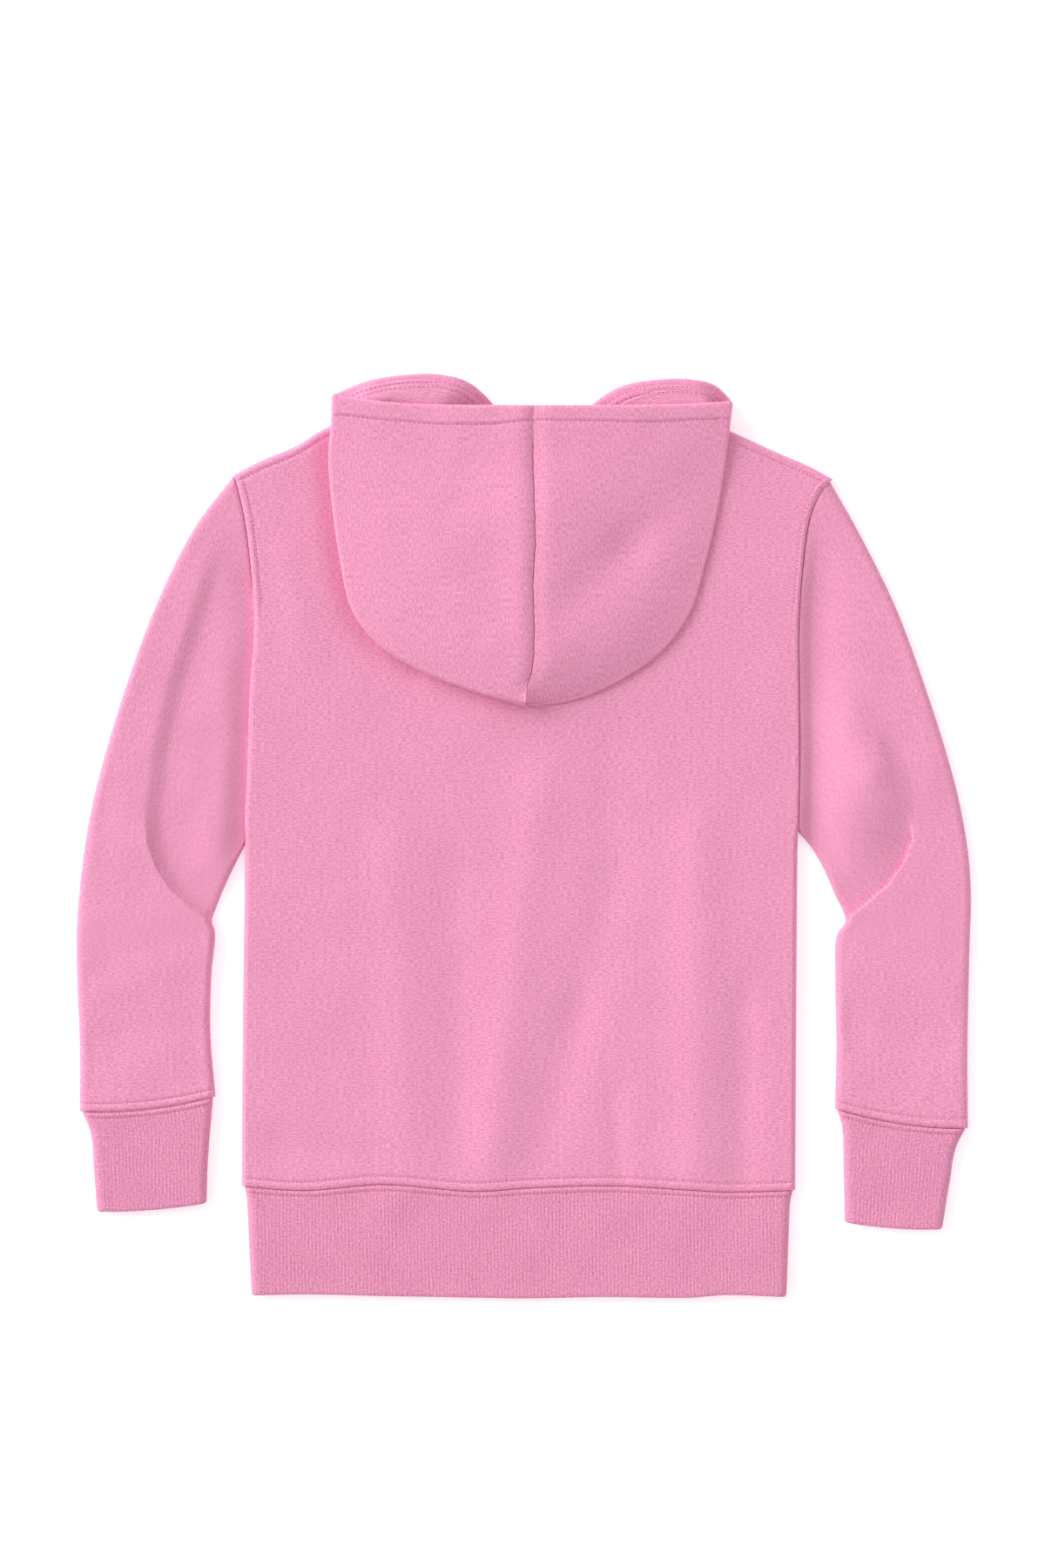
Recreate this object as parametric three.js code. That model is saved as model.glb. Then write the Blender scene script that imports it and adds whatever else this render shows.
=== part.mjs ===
// A toddler's pullover hoodie of pink fleece, laid flat on its front with its back up.
// Millimetres, +Z up from the surface it lies on, +Y from the hem to the hood.
// The wearer's left lies at -X. Every piece of cloth is a wall with an outer and an inner skin.
import * as THREE from "three";

// Cloth
const fleeceWall = 2.2; // brushed fleece
const ribWall = 2.9; // doubled rib
const hoodHemWall = 3.6; // fleece turned over at the hood's edge
const seamGap = 0.3; // between two sewn pieces

// Body, laid as two panels on each other
const bodyTop = 7; // the back panel's outer face
const bodyRoll = 5; // how far in from a folded edge the cloth starts to turn down
const frontInset = 3.3; // the front panel's edge, inside the folded edge
const armholeBlend = 12; // length over which the folded side opens into the armhole
const neckBlend = 8; // length over which the shoulder fold opens into the neckline
const armholeGap = 0.7; // between sleeve and body along X, where the seam slants
const waistGap = 0.45; // between body and waistband, whose edges wander

// Sleeves, cuffs and waistband, laid as flat tubes
const sleeveTop = 6.4;
const sleeveRoll = 4.4;
const armholeFade = 0.3; // share of a sleeve's length over which the armhole's curve fades
const cuffBowFrom = 0.6; // share of a sleeve's length from which it takes on the cuff seam's sag
const ribTop = 6.8;
const ribRoll = 4;
const ribPitch = 2.3;
const ribRelief = 0.45; // from the valley to the crest of one rib
const bandFoldShare = 0.5; // how much of the body's folds the waistband takes on at its seam

// Hood, laid on the back with its mouth up the page
const hoodCrown = 21; // outer face of the upper layer at the middle
const hoodShoulder = 16.5; // the same face where it turns down at the sides
const hoodMouthDrop = 2.5; // how much lower the mouth lies than the crown
const hoodTipDrop = 3.5; // how much lower the tip lies than the crown
const mouthReach = 0.35; // share of the outline over which the mouth's drop ends
const tipReach = 0.3; // share of the outline over which the tip's drop starts
const hoodRoll = 5.5;
const hoodHem = 9.3; // width of the turned hem
const hemStep = 1.3; // length over which the hem's thickness ends
const seamDip = 1.4; // the centre seam's groove
const seamDipReach = 5;
const overShoulder = 5.6; // the hood's underside where it crosses the shoulder's edge
const shoulderGap = 1; // between the hood and the shoulder's edge
const napeGap = 0.5; // between the nape flap's first row and the rounded neckline
const throatGap = 0.4; // between the two front flaps at the throat
const rimAtNeck = 0.385; // share of the mouth's lower edge that lies beside the shoulder
const sinkFrom = 0.1; // share of that edge from which the front flap sinks to the surface
const sinkTo = 0.34;
const narrowHem = 0.6; // the hem's largest share of the flap, where the flap is narrow
const narrowStep = 0.68; // and the share at which its thickness has ended
const neckFollow = 55; // length over which the nape flap's rows stop following the neckline

// Each row is a height on the body, with its left and right edges there.
const bodySections = [
  { y: -179, left: -143.8, right: 138.4 },
  { y: -106, left: -143.3, right: 138.8 },
  { y: -35, left: -142.4, right: 139.3 },
  { y: -4, left: -141.8, right: 139.6 },
  { y: 31, left: -139.8, right: 140.4 },
  { y: 71, left: -138.6, right: 140.1 },
  { y: 100, left: -136.6, right: 139.9 },
  { y: 131, left: -138.9, right: 141.9 },
  { y: 158, left: -142, right: 145.4 },
  { y: 175, left: -145.4, right: 151.6 },
  { y: 184, left: -147.6, right: 157.6 },
];

// The body's top line: the shoulders, and between the neck's two points the two necklines.
const topLine = [
  { x: -147.6, back: 184.2, front: 184.2 },
  { x: -133.6, back: 191.5, front: 191.5 },
  { x: -115.8, back: 199, front: 199 },
  { x: -101.7, back: 207.6, front: 207.6 },
  { x: -87, back: 213, front: 213 },
  { x: -79, back: 211, front: 210.6 },
  { x: -66, back: 206.6, front: 199 },
  { x: -40, back: 203, front: 184 },
  { x: 4, back: 201, front: 175 },
  { x: 48, back: 203, front: 184 },
  { x: 74, back: 206.6, front: 199 },
  { x: 87, back: 210, front: 209.6 },
  { x: 95, back: 211.5, front: 211.5 },
  { x: 107, back: 205.6, front: 205.6 },
  { x: 130.5, back: 194.9, front: 194.9 },
  { x: 145.5, back: 188.5, front: 188.5 },
  { x: 157.6, back: 181.8, front: 181.8 },
];
const neckLeft = -87;
const neckRight = 95;
const throatX = 6;

// The waist seam and the hem, which wander a little.
const waistLine = [
  { x: -144, seam: -178.1, hem: -233.9 },
  { x: -111, seam: -180.3, hem: -233.2 },
  { x: -72, seam: -177.2, hem: -234 },
  { x: -26, seam: -180.7, hem: -234.8 },
  { x: 0, seam: -179.2, hem: -235.2 },
  { x: 42, seam: -177.9, hem: -234.5 },
  { x: 83, seam: -179.9, hem: -234.9 },
  { x: 104, seam: -181.2, hem: -233.5 },
  { x: 138.4, seam: -180.2, hem: -234.8 },
];

// Soft folds of the back panel: a line from one end to the other, its height, its reach on each
// side and how far past its ends it fades. A trough's height is negative.
const bodyFolds = [
  { x0: -66, y0: -10, x1: -60, y1: -150, height: 0.8, reach: 20 },
  { x0: -36, y0: -20, x1: -34, y1: -150, height: -0.9, reach: 20 },
  { x0: 8, y0: 20, x1: -16, y1: -160, height: 1.2, reach: 20 },
  { x0: 46, y0: 50, x1: 44, y1: -25, height: -0.8, reach: 20 },
  { x0: 44, y0: -25, x1: 8, y1: -160, height: -1.3, reach: 18 },
  { x0: 90, y0: -5, x1: 88, y1: -165, height: 1.4, reach: 20 },
  { x0: 112, y0: -90, x1: 111, y1: -168, height: -1.1, reach: 16 },
];
const foldFade = 30;

// Each row is a section across a sleeve, from its outer edge to its inner one, armhole to cuff.
const leftSleeveSections = [
  { outerX: -147.9, outerY: 183.8, innerX: -142.1, innerY: -4.4 },
  { outerX: -167.7, outerY: 157.3, innerX: -144.4, innerY: -9 },
  { outerX: -186.7, outerY: 119.2, innerX: -146.6, innerY: -13.5 },
  { outerX: -202.7, outerY: 76.2, innerX: -149, innerY: -18.5 },
  { outerX: -213.2, outerY: 42, innerX: -151.6, innerY: -24 },
  { outerX: -220.4, outerY: 13.3, innerX: -154.2, innerY: -30 },
  { outerX: -225, outerY: -15.5, innerX: -156.8, innerY: -36.6 },
  { outerX: -227.4, outerY: -41.6, innerX: -158.8, innerY: -43 },
  { outerX: -227.9, outerY: -55, innerX: -157.2, innerY: -49 },
  { outerX: -227.4, outerY: -75, innerX: -159, innerY: -70 },
  { outerX: -226.2, outerY: -105, innerX: -159.6, innerY: -100 },
  { outerX: -226.2, outerY: -140, innerX: -157, innerY: -132.4 },
];
const rightSleeveSections = [
  { outerX: 158.1, outerY: 180.4, innerX: 140, innerY: 2.2 },
  { outerX: 173, outerY: 152, innerX: 141.6, innerY: 0.4 },
  { outerX: 190.3, outerY: 115.2, innerX: 143.4, innerY: -1.8 },
  { outerX: 206.2, outerY: 70.9, innerX: 146, innerY: -5 },
  { outerX: 215.1, outerY: 43, innerX: 149.6, innerY: -10.6 },
  { outerX: 221.5, outerY: 19, innerX: 153.6, innerY: -18.3 },
  { outerX: 226.4, outerY: -9, innerX: 158.2, innerY: -29 },
  { outerX: 227.8, outerY: -32, innerX: 163.8, innerY: -43 },
  { outerX: 227.2, outerY: -52, innerX: 159.4, innerY: -50.5 },
  { outerX: 226.6, outerY: -76, innerX: 158.6, innerY: -73.5 },
  { outerX: 226, outerY: -108, innerX: 159.2, innerY: -106 },
  { outerX: 226.2, outerY: -148.6, innerX: 158.4, innerY: -138.6 },
];
const cuffSeamBow = -2.6; // the cuff seam's sag below a straight line

// Each row is a share of the waistband's height, from its seam to its hem, with its two edges.
const bandSections = [
  { share: 0, left: -142, right: 137 },
  { share: 0.12, left: -141, right: 135.6 },
  { share: 0.55, left: -139.9, right: 134.7 },
  { share: 1, left: -138.6, right: 133.7 },
];

// Each row is a section across a cuff, from the sleeve's seam to the open end.
const leftCuffSections = [
  { outerX: -224.8, outerY: -140.3, innerX: -158.2, innerY: -132.8 },
  { outerX: -220.6, outerY: -151, innerX: -159.2, innerY: -144.4 },
  { outerX: -218.9, outerY: -170, innerX: -160.9, innerY: -166 },
  { outerX: -217.3, outerY: -191, innerX: -161.5, innerY: -186.7 },
];
const rightCuffSections = [
  { outerX: 224.8, outerY: -148.8, innerX: 159.6, innerY: -139 },
  { outerX: 220, outerY: -158.6, innerX: 162, innerY: -147 },
  { outerX: 216.9, outerY: -176, innerX: 162.9, innerY: -172 },
  { outerX: 213, outerY: -200, innerX: 163.4, innerY: -196.4 },
];

// Elbow folds: the forearm laps over the upper arm along this line, from the inner edge up.
const leftElbowFold = [
  { x: -156, y: -46.5 },
  { x: -169, y: -36.8 },
  { x: -178.8, y: -28.6 },
  { x: -186.7, y: -17.3 },
  { x: -191.6, y: -4 },
  { x: -192.6, y: 12 },
  { x: -189, y: 38 },
];
const rightElbowFold = [
  { x: 161, y: -46.5 },
  { x: 174, y: -35 },
  { x: 185.4, y: -25.3 },
  { x: 193.4, y: -14.2 },
  { x: 198.2, y: -2 },
  { x: 198.4, y: 12 },
  { x: 193, y: 34 },
];
const elbowRise = 2.6; // the forearm's lip
const elbowDrop = 1.1; // the upper arm where it goes under
const elbowReach = 17;
const elbowFadeFrom = 0.5; // share of the line from which the fold fades

// Stations along the hood's folded outline, from the mouth's corners to the tip.
const hoodOutline = [
  { leftX: -97.7, leftY: 224.6, rightX: 106.5, rightY: 221.1 },
  { leftX: -98.2, leftY: 208, rightX: 104.6, rightY: 206 },
  { leftX: -99.3, leftY: 192, rightX: 102.4, rightY: 187 },
  { leftX: -97.5, leftY: 168, rightX: 98.6, rightY: 164.4 },
  { leftX: -93.7, leftY: 141.3, rightX: 93, rightY: 140.6 },
  { leftX: -87.4, leftY: 115, rightX: 84.8, rightY: 113.9 },
  { leftX: -74.6, leftY: 97.9, rightX: 70.2, rightY: 93.9 },
  { leftX: -54.7, leftY: 84.8, rightX: 49, rightY: 79.2 },
  { leftX: -25.9, leftY: 73.5, rightX: 25.9, rightY: 69.4 },
  { leftX: 0.4, leftY: 65.8, rightX: 1.4, rightY: 66.4 },
];
const mouthCentreY = 218.8;

// The centre seam, from the mouth to the tip.
const hoodSeam = [
  { y: 218.8, x: 4.7 },
  { y: 190, x: 4.6 },
  { y: 150, x: 5.7 },
  { y: 127, x: 4.6 },
  { y: 107, x: 5.2 },
  { y: 86, x: 4.4 },
  { y: 76, x: 1.8 },
  { y: 65.8, x: 0.9 },
];

// The mouth's lower edge, from the corners round to the throat.
const lowerRim = [
  { leftX: -97.7, leftY: 224.6, rightX: 106.5, rightY: 221.1 },
  { leftX: -81.3, leftY: 231.1, rightX: 97.5, rightY: 229.5 },
  { leftX: -58.7, leftY: 234.8, rightX: 83, rightY: 232.6 },
  { leftX: -41.4, leftY: 234.7, rightX: 63.6, rightY: 231.8 },
  { leftX: -27.5, leftY: 230.6, rightX: 49.4, rightY: 228.8 },
  { leftX: -15.3, leftY: 219.5, rightX: 34.8, rightY: 219.8 },
  { leftX: -7, leftY: 205, rightX: 23, rightY: 206 },
  { leftX: 1.6, leftY: 192, rightX: 12.6, rightY: 193 },
  { leftX: 5.8, leftY: 185, rightX: 6.2, rightY: 185 },
];

// Soft folds of the hood's upper layer.
const hoodFolds = [
  { x0: 92, y0: 182, x1: 52, y1: 146, height: -1.7, reach: 16 },
  { x0: 52, y0: 146, x1: 20, y1: 116, height: -1.4, reach: 15 },
  { x0: 62, y0: 118, x1: 34, y1: 92, height: 0.8, reach: 16 },
  { x0: -20, y0: 200, x1: -34, y1: 170, height: -0.6, reach: 16 },
];

// The hood's first rows, each at a share of the way along the outline to the shoulder and at a
// distance along the centre seam: the mouth, the end of its hem, the end of the hem's
// thickness, one more, and the row at the shoulder's edge, where the two flaps part.
const hoodFirstRows = [
  { toShoulder: 0, onSeam: 0 },
  { toShoulder: 0.74, onSeam: hoodHem },
  { toShoulder: 0.85, onSeam: hoodHem + hemStep },
  { toShoulder: 0.93, onSeam: hoodHem + 2 * hemStep },
  { toShoulder: 1, onSeam: hoodHem + 4 * hemStep },
];
const hoodSixthRow = hoodHem + 8 * hemStep; // its distance along the centre seam

// How finely each piece is divided
const rollAngles = [60, 30, 0, -30, -60];
const rollDistances = [0, 0.45, 1.6, bodyRoll]; // from a folded edge of the body
const bodyColumns = 22;
const frontColumns = 18;
const rowsBelowArmhole = 6;
const rowsBesideArmhole = 13;
const sleeveRows = 17;
const sleeveColumns = 12;
const sleeveUnderside = 10;
const cuffRows = 3;
const cuffUnderside = 4;
const bandRows = 2;
const bandUnderside = 22;
const hoodRowsBelow = 12;
const hoodColumns = 9;
const flapColumns = 8;

const lerp = THREE.MathUtils.lerp;
const clamp = THREE.MathUtils.clamp;
const smooth = (x, low, high) => THREE.MathUtils.smoothstep(x, low, high);

// The value of one column of a table where another column has the value "at".
// A table runs upwards or downwards in that other column.
function read(table, by, column, at) {
  const way = Math.sign(table[table.length - 1][by] - table[0][by]);
  let i = 0;
  while (i < table.length - 2 && way * (at - table[i + 1][by]) > 0) i++;
  const slope = (k) => {
    const from = table[Math.max(k - 1, 0)];
    const to = table[Math.min(k + 1, table.length - 1)];
    return (to[column] - from[column]) / (to[by] - from[by]);
  };
  const span = table[i + 1][by] - table[i][by];
  const t = clamp((at - table[i][by]) / span, 0, 1);
  const from = table[i][column];
  const to = table[i + 1][column];
  return (
    from * (1 + 2 * t) * (1 - t) ** 2 +
    to * (3 - 2 * t) * t ** 2 +
    slope(i) * span * t * (1 - t) ** 2 -
    slope(i + 1) * span * t ** 2 * (1 - t)
  );
}

// A point in plan on the smooth line through two columns of a table, by share of its rows or,
// with even spacing asked for, by share of its length.
function lineThrough(table, xColumn, yColumn, even) {
  const points = table.map((row) => new THREE.Vector3(row[xColumn], row[yColumn], 0));
  const curve = new THREE.CatmullRomCurve3(points, false, "centripetal");
  return (share) => (even ? curve.getPointAt(share) : curve.getPoint(share));
}

// The height that soft folds add at a point in plan.
function foldHeight(folds, x, y) {
  let sum = 0;
  for (const fold of folds) {
    const dx = fold.x1 - fold.x0;
    const dy = fold.y1 - fold.y0;
    const length = Math.hypot(dx, dy);
    const alongFold = ((x - fold.x0) * dx + (y - fold.y0) * dy) / length;
    const past = Math.max(0, -alongFold, alongFold - length) / foldFade;
    const aside = ((x - fold.x0) * dy - (y - fold.y0) * dx) / length / fold.reach;
    sum += fold.height * Math.exp(-2 * aside ** 2) * Math.exp(-3 * past ** 2);
  }
  return sum;
}

// One closed wall of cloth. Each knot of the sheet has an outer and an inner point, patches join
// four knots, and every free edge of the sheet is closed between the two skins.
function wallGeometry(knots, patches) {
  const size = knots.length;
  const positions = knots.flatMap((k) => k.outer).concat(knots.flatMap((k) => k.inner));
  const triangles = [];
  const edges = new Map();
  for (const patch of patches) {
    const ring = patch.filter((k, i) => k !== patch[(i + 1) % patch.length]);
    for (let i = 1; i < ring.length - 1; i++) {
      triangles.push([ring[0], ring[i], ring[i + 1]]);
      triangles.push([ring[0] + size, ring[i + 1] + size, ring[i] + size]);
    }
    ring.forEach((k, i) => edges.set(k + "," + ring[(i + 1) % ring.length], true));
  }
  for (const edge of edges.keys()) {
    const [a, b] = edge.split(",").map(Number);
    if (edges.has(b + "," + a)) continue;
    triangles.push([b, a, a + size], [b, a + size, b + size]);
  }
  const point = (k) => positions.slice(3 * k, 3 * k + 3);
  const volume = triangles.reduce((sum, [a, b, c]) => {
    const [p, q, r] = [point(a), point(b), point(c)];
    const cross = [q[1] * r[2] - q[2] * r[1], q[2] * r[0] - q[0] * r[2], q[0] * r[1] - q[1] * r[0]];
    return sum + p[0] * cross[0] + p[1] * cross[1] + p[2] * cross[2];
  }, 0);
  if (volume < 0) triangles.forEach((t) => t.reverse());
  const geometry = new THREE.BufferGeometry();
  geometry.setAttribute("position", new THREE.Float32BufferAttribute(positions, 3));
  geometry.setIndex(triangles.flat());
  geometry.computeVertexNormals();
  return geometry;
}

// The patches of a grid of knots whose numbers come from "at".
function gridPatches(rows, columns, at, isRing) {
  const patches = [];
  const last = isRing ? columns : columns - 1;
  for (let i = 0; i < rows - 1; i++) {
    for (let j = 0; j < last; j++) {
      const k = (j + 1) % columns;
      patches.push([at(i, j), at(i, k), at(i + 1, k), at(i + 1, j)]);
    }
  }
  return patches;
}

// How far a folded edge has turned down, as a share of the height, at a distance from the edge.
const rollHeight = (distance) => Math.sqrt(1 - (1 - clamp(distance / bodyRoll, 0, 1)) ** 2);
const rollShare = (distance) => 1 - clamp(distance / bodyRoll, 0, 1);

const waistY = (x) => read(waistLine, "x", "seam", x);
const bodyEdge = (side, y) => read(bodySections, "y", side, y);
const bodyBottom = bodySections[0].y;
const bodyHigh = bodySections[bodySections.length - 1].y;
const underarmLeft = leftSleeveSections[0].innerY;
const underarmRight = rightSleeveSections[0].innerY;

// Where the shares across and up of a body panel lie in plan.
function bodyPlan(across, up, topColumn) {
  const y = lerp(bodyBottom, bodyHigh, up);
  const x = lerp(bodyEdge("left", y), bodyEdge("right", y), across);
  return [x, lerp(waistY(x), read(topLine, "x", topColumn, x), up)];
}

const sideFolded = (y, underarm) => 1 - smooth(y, underarm - armholeBlend, underarm);
const shoulderFolded = (x) =>
  1 - smooth(x, neckLeft, neckLeft + neckBlend) + smooth(x, neckRight - neckBlend, neckRight);

// Shares at which a panel is divided: close together where its edges turn down.
function edgeShares(length, count) {
  const inner = count - 2 * rollDistances.length + 2;
  const shares = rollDistances.map((d) => d / length);
  for (let i = 1; i < inner; i++) {
    shares.push(lerp(bodyRoll / length, 1 - bodyRoll / length, i / inner));
  }
  return shares.concat(rollDistances.map((d) => 1 - d / length).reverse());
}

// Shares up a body panel: fewer below the armholes, more beside them, and close at the top.
function bodyUps(height) {
  const low = waistGap / height;
  const middle = (underarmLeft - bodyBottom) / height;
  const high = 1 - bodyRoll / height;
  const ups = [];
  for (let i = 0; i < rowsBelowArmhole; i++) ups.push(lerp(low, middle, i / rowsBelowArmhole));
  for (let i = 0; i < rowsBesideArmhole; i++) ups.push(lerp(middle, high, i / rowsBesideArmhole));
  return ups.concat(rollDistances.map((d) => 1 - d / height).reverse());
}

function backPanel() {
  const height = bodyHigh - bodyBottom;
  const width = bodySections[0].right - bodySections[0].left;
  const shares = edgeShares(width, bodyColumns);
  const ups = bodyUps(height);
  const knots = [];
  for (const up of ups) {
    for (const across of shares) {
      const y = lerp(bodyBottom, bodyHigh, up);
      const leftTurn = sideFolded(y, underarmLeft);
      const rightTurn = sideFolded(y, underarmRight);
      const [x, planY] = bodyPlan(across, up, "back");
      const topTurn = shoulderFolded(x);
      const fromLeft = across * width;
      const fromRight = (1 - across) * width;
      const fromTop = (1 - up) * height;
      const turned = Math.min(
        lerp(1, rollHeight(fromLeft), leftTurn),
        lerp(1, rollHeight(fromRight), rightTurn),
        lerp(1, rollHeight(fromTop), topTurn),
      );
      const fade = clamp(Math.min(fromLeft, fromRight) / (4 * bodyRoll), 0, 1);
      const top = bodyTop + foldHeight(bodyFolds, x, planY) * fade;
      const stepLeft = (leftTurn * fleeceWall * rollShare(fromLeft)) / width;
      const stepRight = (rightTurn * fleeceWall * rollShare(fromRight)) / width;
      const stepTop = (topTurn * fleeceWall * rollShare(fromTop)) / height;
      const gapLeft = ((1 - leftTurn) * rollShare(fromLeft) * seamGap) / width;
      const gapRight = ((1 - rightTurn) * rollShare(fromRight) * seamGap) / width;
      const outerPlan = bodyPlan(across + gapLeft - gapRight, up, "back");
      const innerPlan = bodyPlan(
        across + gapLeft - gapRight + stepLeft - stepRight,
        up - stepTop,
        "back",
      );
      knots.push({
        outer: [...outerPlan, top * turned],
        inner: [...innerPlan, (top - fleeceWall) * turned],
      });
    }
  }
  const at = (i, j) => i * shares.length + j;
  return wallGeometry(knots, gridPatches(ups.length, shares.length, at, false));
}

function frontPanel() {
  const height = bodyHigh - bodyBottom;
  const width = bodySections[0].right - bodySections[0].left;
  const columns = frontColumns;
  const ups = bodyUps(height).filter((up, i, all) => i < all.length - 3 || i === all.length - 1);
  const rows = ups.length;
  const knots = [];
  for (let i = 0; i < rows; i++) {
    for (let j = 0; j < columns; j++) {
      const rawUp = ups[i];
      const rawAcross = j / (columns - 1);
      const y = lerp(bodyBottom, bodyHigh, rawUp);
      const left = lerp(seamGap, frontInset, sideFolded(y, underarmLeft + armholeBlend / 2));
      const right = lerp(seamGap, frontInset, sideFolded(y, underarmRight + armholeBlend / 2));
      const across = lerp(left / width, 1 - right / width, rawAcross);
      const x = bodyPlan(across, rawUp, "front")[0];
      const folded = Math.max(shoulderFolded(x - neckBlend), shoulderFolded(x + neckBlend));
      const inset = lerp(seamGap, frontInset + seamGap, folded);
      const up = Math.min(rawUp, 1 - inset / height);
      const plan = bodyPlan(across, up, "front");
      knots.push({ outer: [...plan, 0], inner: [...plan, fleeceWall] });
    }
  }
  const at = (i, j) => i * columns + j;
  return wallGeometry(knots, gridPatches(rows, columns, at, false));
}

// A tube of cloth laid flat. "plan" gives a point from the shares along and across, "topAt" the
// outer face's height, and the edges turn over with the reach "roll".
function flatTube(shape) {
  const { rows, columns, undersideColumns, plan, widthAt, topAt, wall, roll, relief } = shape;
  const knots = [];
  let ringSize = 0;
  for (let i = 0; i <= rows; i++) {
    const along = i / rows;
    const reach = roll / widthAt(along);
    const ring = [];
    for (let j = 0; j <= columns; j++) {
      const across = lerp(reach, 1 - reach, j / columns);
      const place = plan(along, across);
      const top = topAt(along, across, place);
      const raised = relief && j > 0 && j < columns ? (relief * (j % 2 ? 1 : -1)) / 2 : 0;
      ring.push({
        outer: [...place, top + raised],
        inner: [...place, top - wall],
      });
    }
    const turnOver = (isFar, angle) => {
      const turn = THREE.MathUtils.degToRad(angle);
      const edgeTop = topAt(along, isFar ? 1 - reach : reach, plan(along, isFar ? 1 : 0));
      const half = edgeTop / 2;
      const outerShare = reach * (1 - Math.cos(turn));
      const innerShare = reach - (reach * (roll - wall) * Math.cos(turn)) / roll;
      const place = (share) => plan(along, isFar ? 1 - share : share);
      ring.push({
        outer: [...place(outerShare), half + half * Math.sin(turn)],
        inner: [...place(innerShare), half + (half - wall) * Math.sin(turn)],
      });
    };
    rollAngles.forEach((angle) => turnOver(true, angle));
    for (let j = 0; j <= undersideColumns; j++) {
      const place = plan(along, lerp(1 - reach, reach, j / undersideColumns));
      ring.push({ outer: [...place, 0], inner: [...place, wall] });
    }
    rollAngles.slice().reverse().forEach((angle) => turnOver(false, angle));
    ringSize = ring.length;
    knots.push(...ring);
  }
  const at = (i, j) => i * ringSize + j;
  return wallGeometry(knots, gridPatches(rows + 1, ringSize, at, true));
}

// How much an elbow fold raises or lowers the sleeve: a lip on the forearm's side of the line,
// and on the upper arm's side a trough that goes under it.
function elbowHeight(fold, x, y) {
  let nearest = Infinity;
  let result = 0;
  for (let i = 0; i < fold.length - 1; i++) {
    const a = fold[i];
    const b = fold[i + 1];
    const length = Math.hypot(b.x - a.x, b.y - a.y);
    const t = clamp(((x - a.x) * (b.x - a.x) + (y - a.y) * (b.y - a.y)) / length ** 2, 0, 1);
    const distance = Math.hypot(x - lerp(a.x, b.x, t), y - lerp(a.y, b.y, t));
    if (distance >= nearest) continue;
    nearest = distance;
    const side = (b.x - a.x) * (y - a.y) - (b.y - a.y) * (x - a.x);
    const isForearm = side * Math.sign(fold[0].x) < 0;
    const strength = 1 - smooth((i + t) / (fold.length - 1), elbowFadeFrom, 1);
    const near = Math.exp(-((distance / elbowReach) ** 2));
    result = strength * near * (isForearm ? elbowRise : -elbowDrop);
  }
  return result;
}

function sleeve(sections, side, elbowFold) {
  const outer = lineThrough(sections, "outerX", "outerY", false);
  const inner = lineThrough(sections, "innerX", "innerY", false);
  const outward = Math.sign(sections[0].outerX);
  const plan = (along, across) => {
    const a = outer(along);
    const b = inner(along);
    const straight = a.clone().lerp(b, across);
    const top = outer(0);
    const y = lerp(top.y, inner(0).y, across);
    const onLine = lerp(top.x, inner(0).x, across);
    const armhole = bodyEdge(side, y) + outward * armholeGap - onLine;
    const fade = Math.max(0, 1 - along / armholeFade) ** 2;
    const sag = cuffSeamBow * 4 * across * (1 - across) * smooth(along, cuffBowFrom, 1);
    return [straight.x + armhole * fade, straight.y + sag];
  };
  return flatTube({
    rows: sleeveRows,
    columns: sleeveColumns,
    undersideColumns: sleeveUnderside,
    plan,
    widthAt: (along) => outer(along).distanceTo(inner(along)),
    topAt: (along, across, [x, y]) => sleeveTop + elbowHeight(elbowFold, x, y),
    wall: fleeceWall,
    roll: sleeveRoll,
  });
}

function cuff(sections) {
  const outer = lineThrough(sections, "outerX", "outerY", true);
  const inner = lineThrough(sections, "innerX", "innerY", true);
  const width = (along) => outer(along).distanceTo(inner(along));
  const plan = (along, across) => {
    const straight = outer(along).lerp(inner(along), across);
    const sag = cuffSeamBow * 4 * across * (1 - across) * (1 - 0.5 * along);
    return [straight.x, straight.y + sag - seamGap];
  };
  const ribs = Math.round((width(0.5) - 2 * ribRoll) / ribPitch);
  return flatTube({
    rows: cuffRows,
    columns: 2 * ribs,
    undersideColumns: cuffUnderside,
    plan,
    widthAt: width,
    topAt: () => ribTop,
    wall: ribWall,
    roll: ribRoll,
    relief: ribRelief,
  });
}

function waistband() {
  const edge = (side, along) => read(bandSections, "share", side, along);
  const plan = (along, across) => {
    const x = lerp(edge("left", along), edge("right", along), across);
    const hem = read(waistLine, "x", "hem", x);
    return [x, lerp(waistY(x) - seamGap / 2, hem, along)];
  };
  const width = (along) => edge("right", along) - edge("left", along);
  const ribs = Math.round((width(0.5) - 2 * ribRoll) / ribPitch);
  return flatTube({
    rows: bandRows,
    columns: 2 * ribs,
    undersideColumns: bandUnderside,
    plan,
    widthAt: width,
    topAt: (along, across, [x, y]) =>
      ribTop + foldHeight(bodyFolds, x, y) * (1 - along) * bandFoldShare,
    wall: ribWall,
    roll: ribRoll,
    relief: ribRelief,
  });
}

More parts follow.
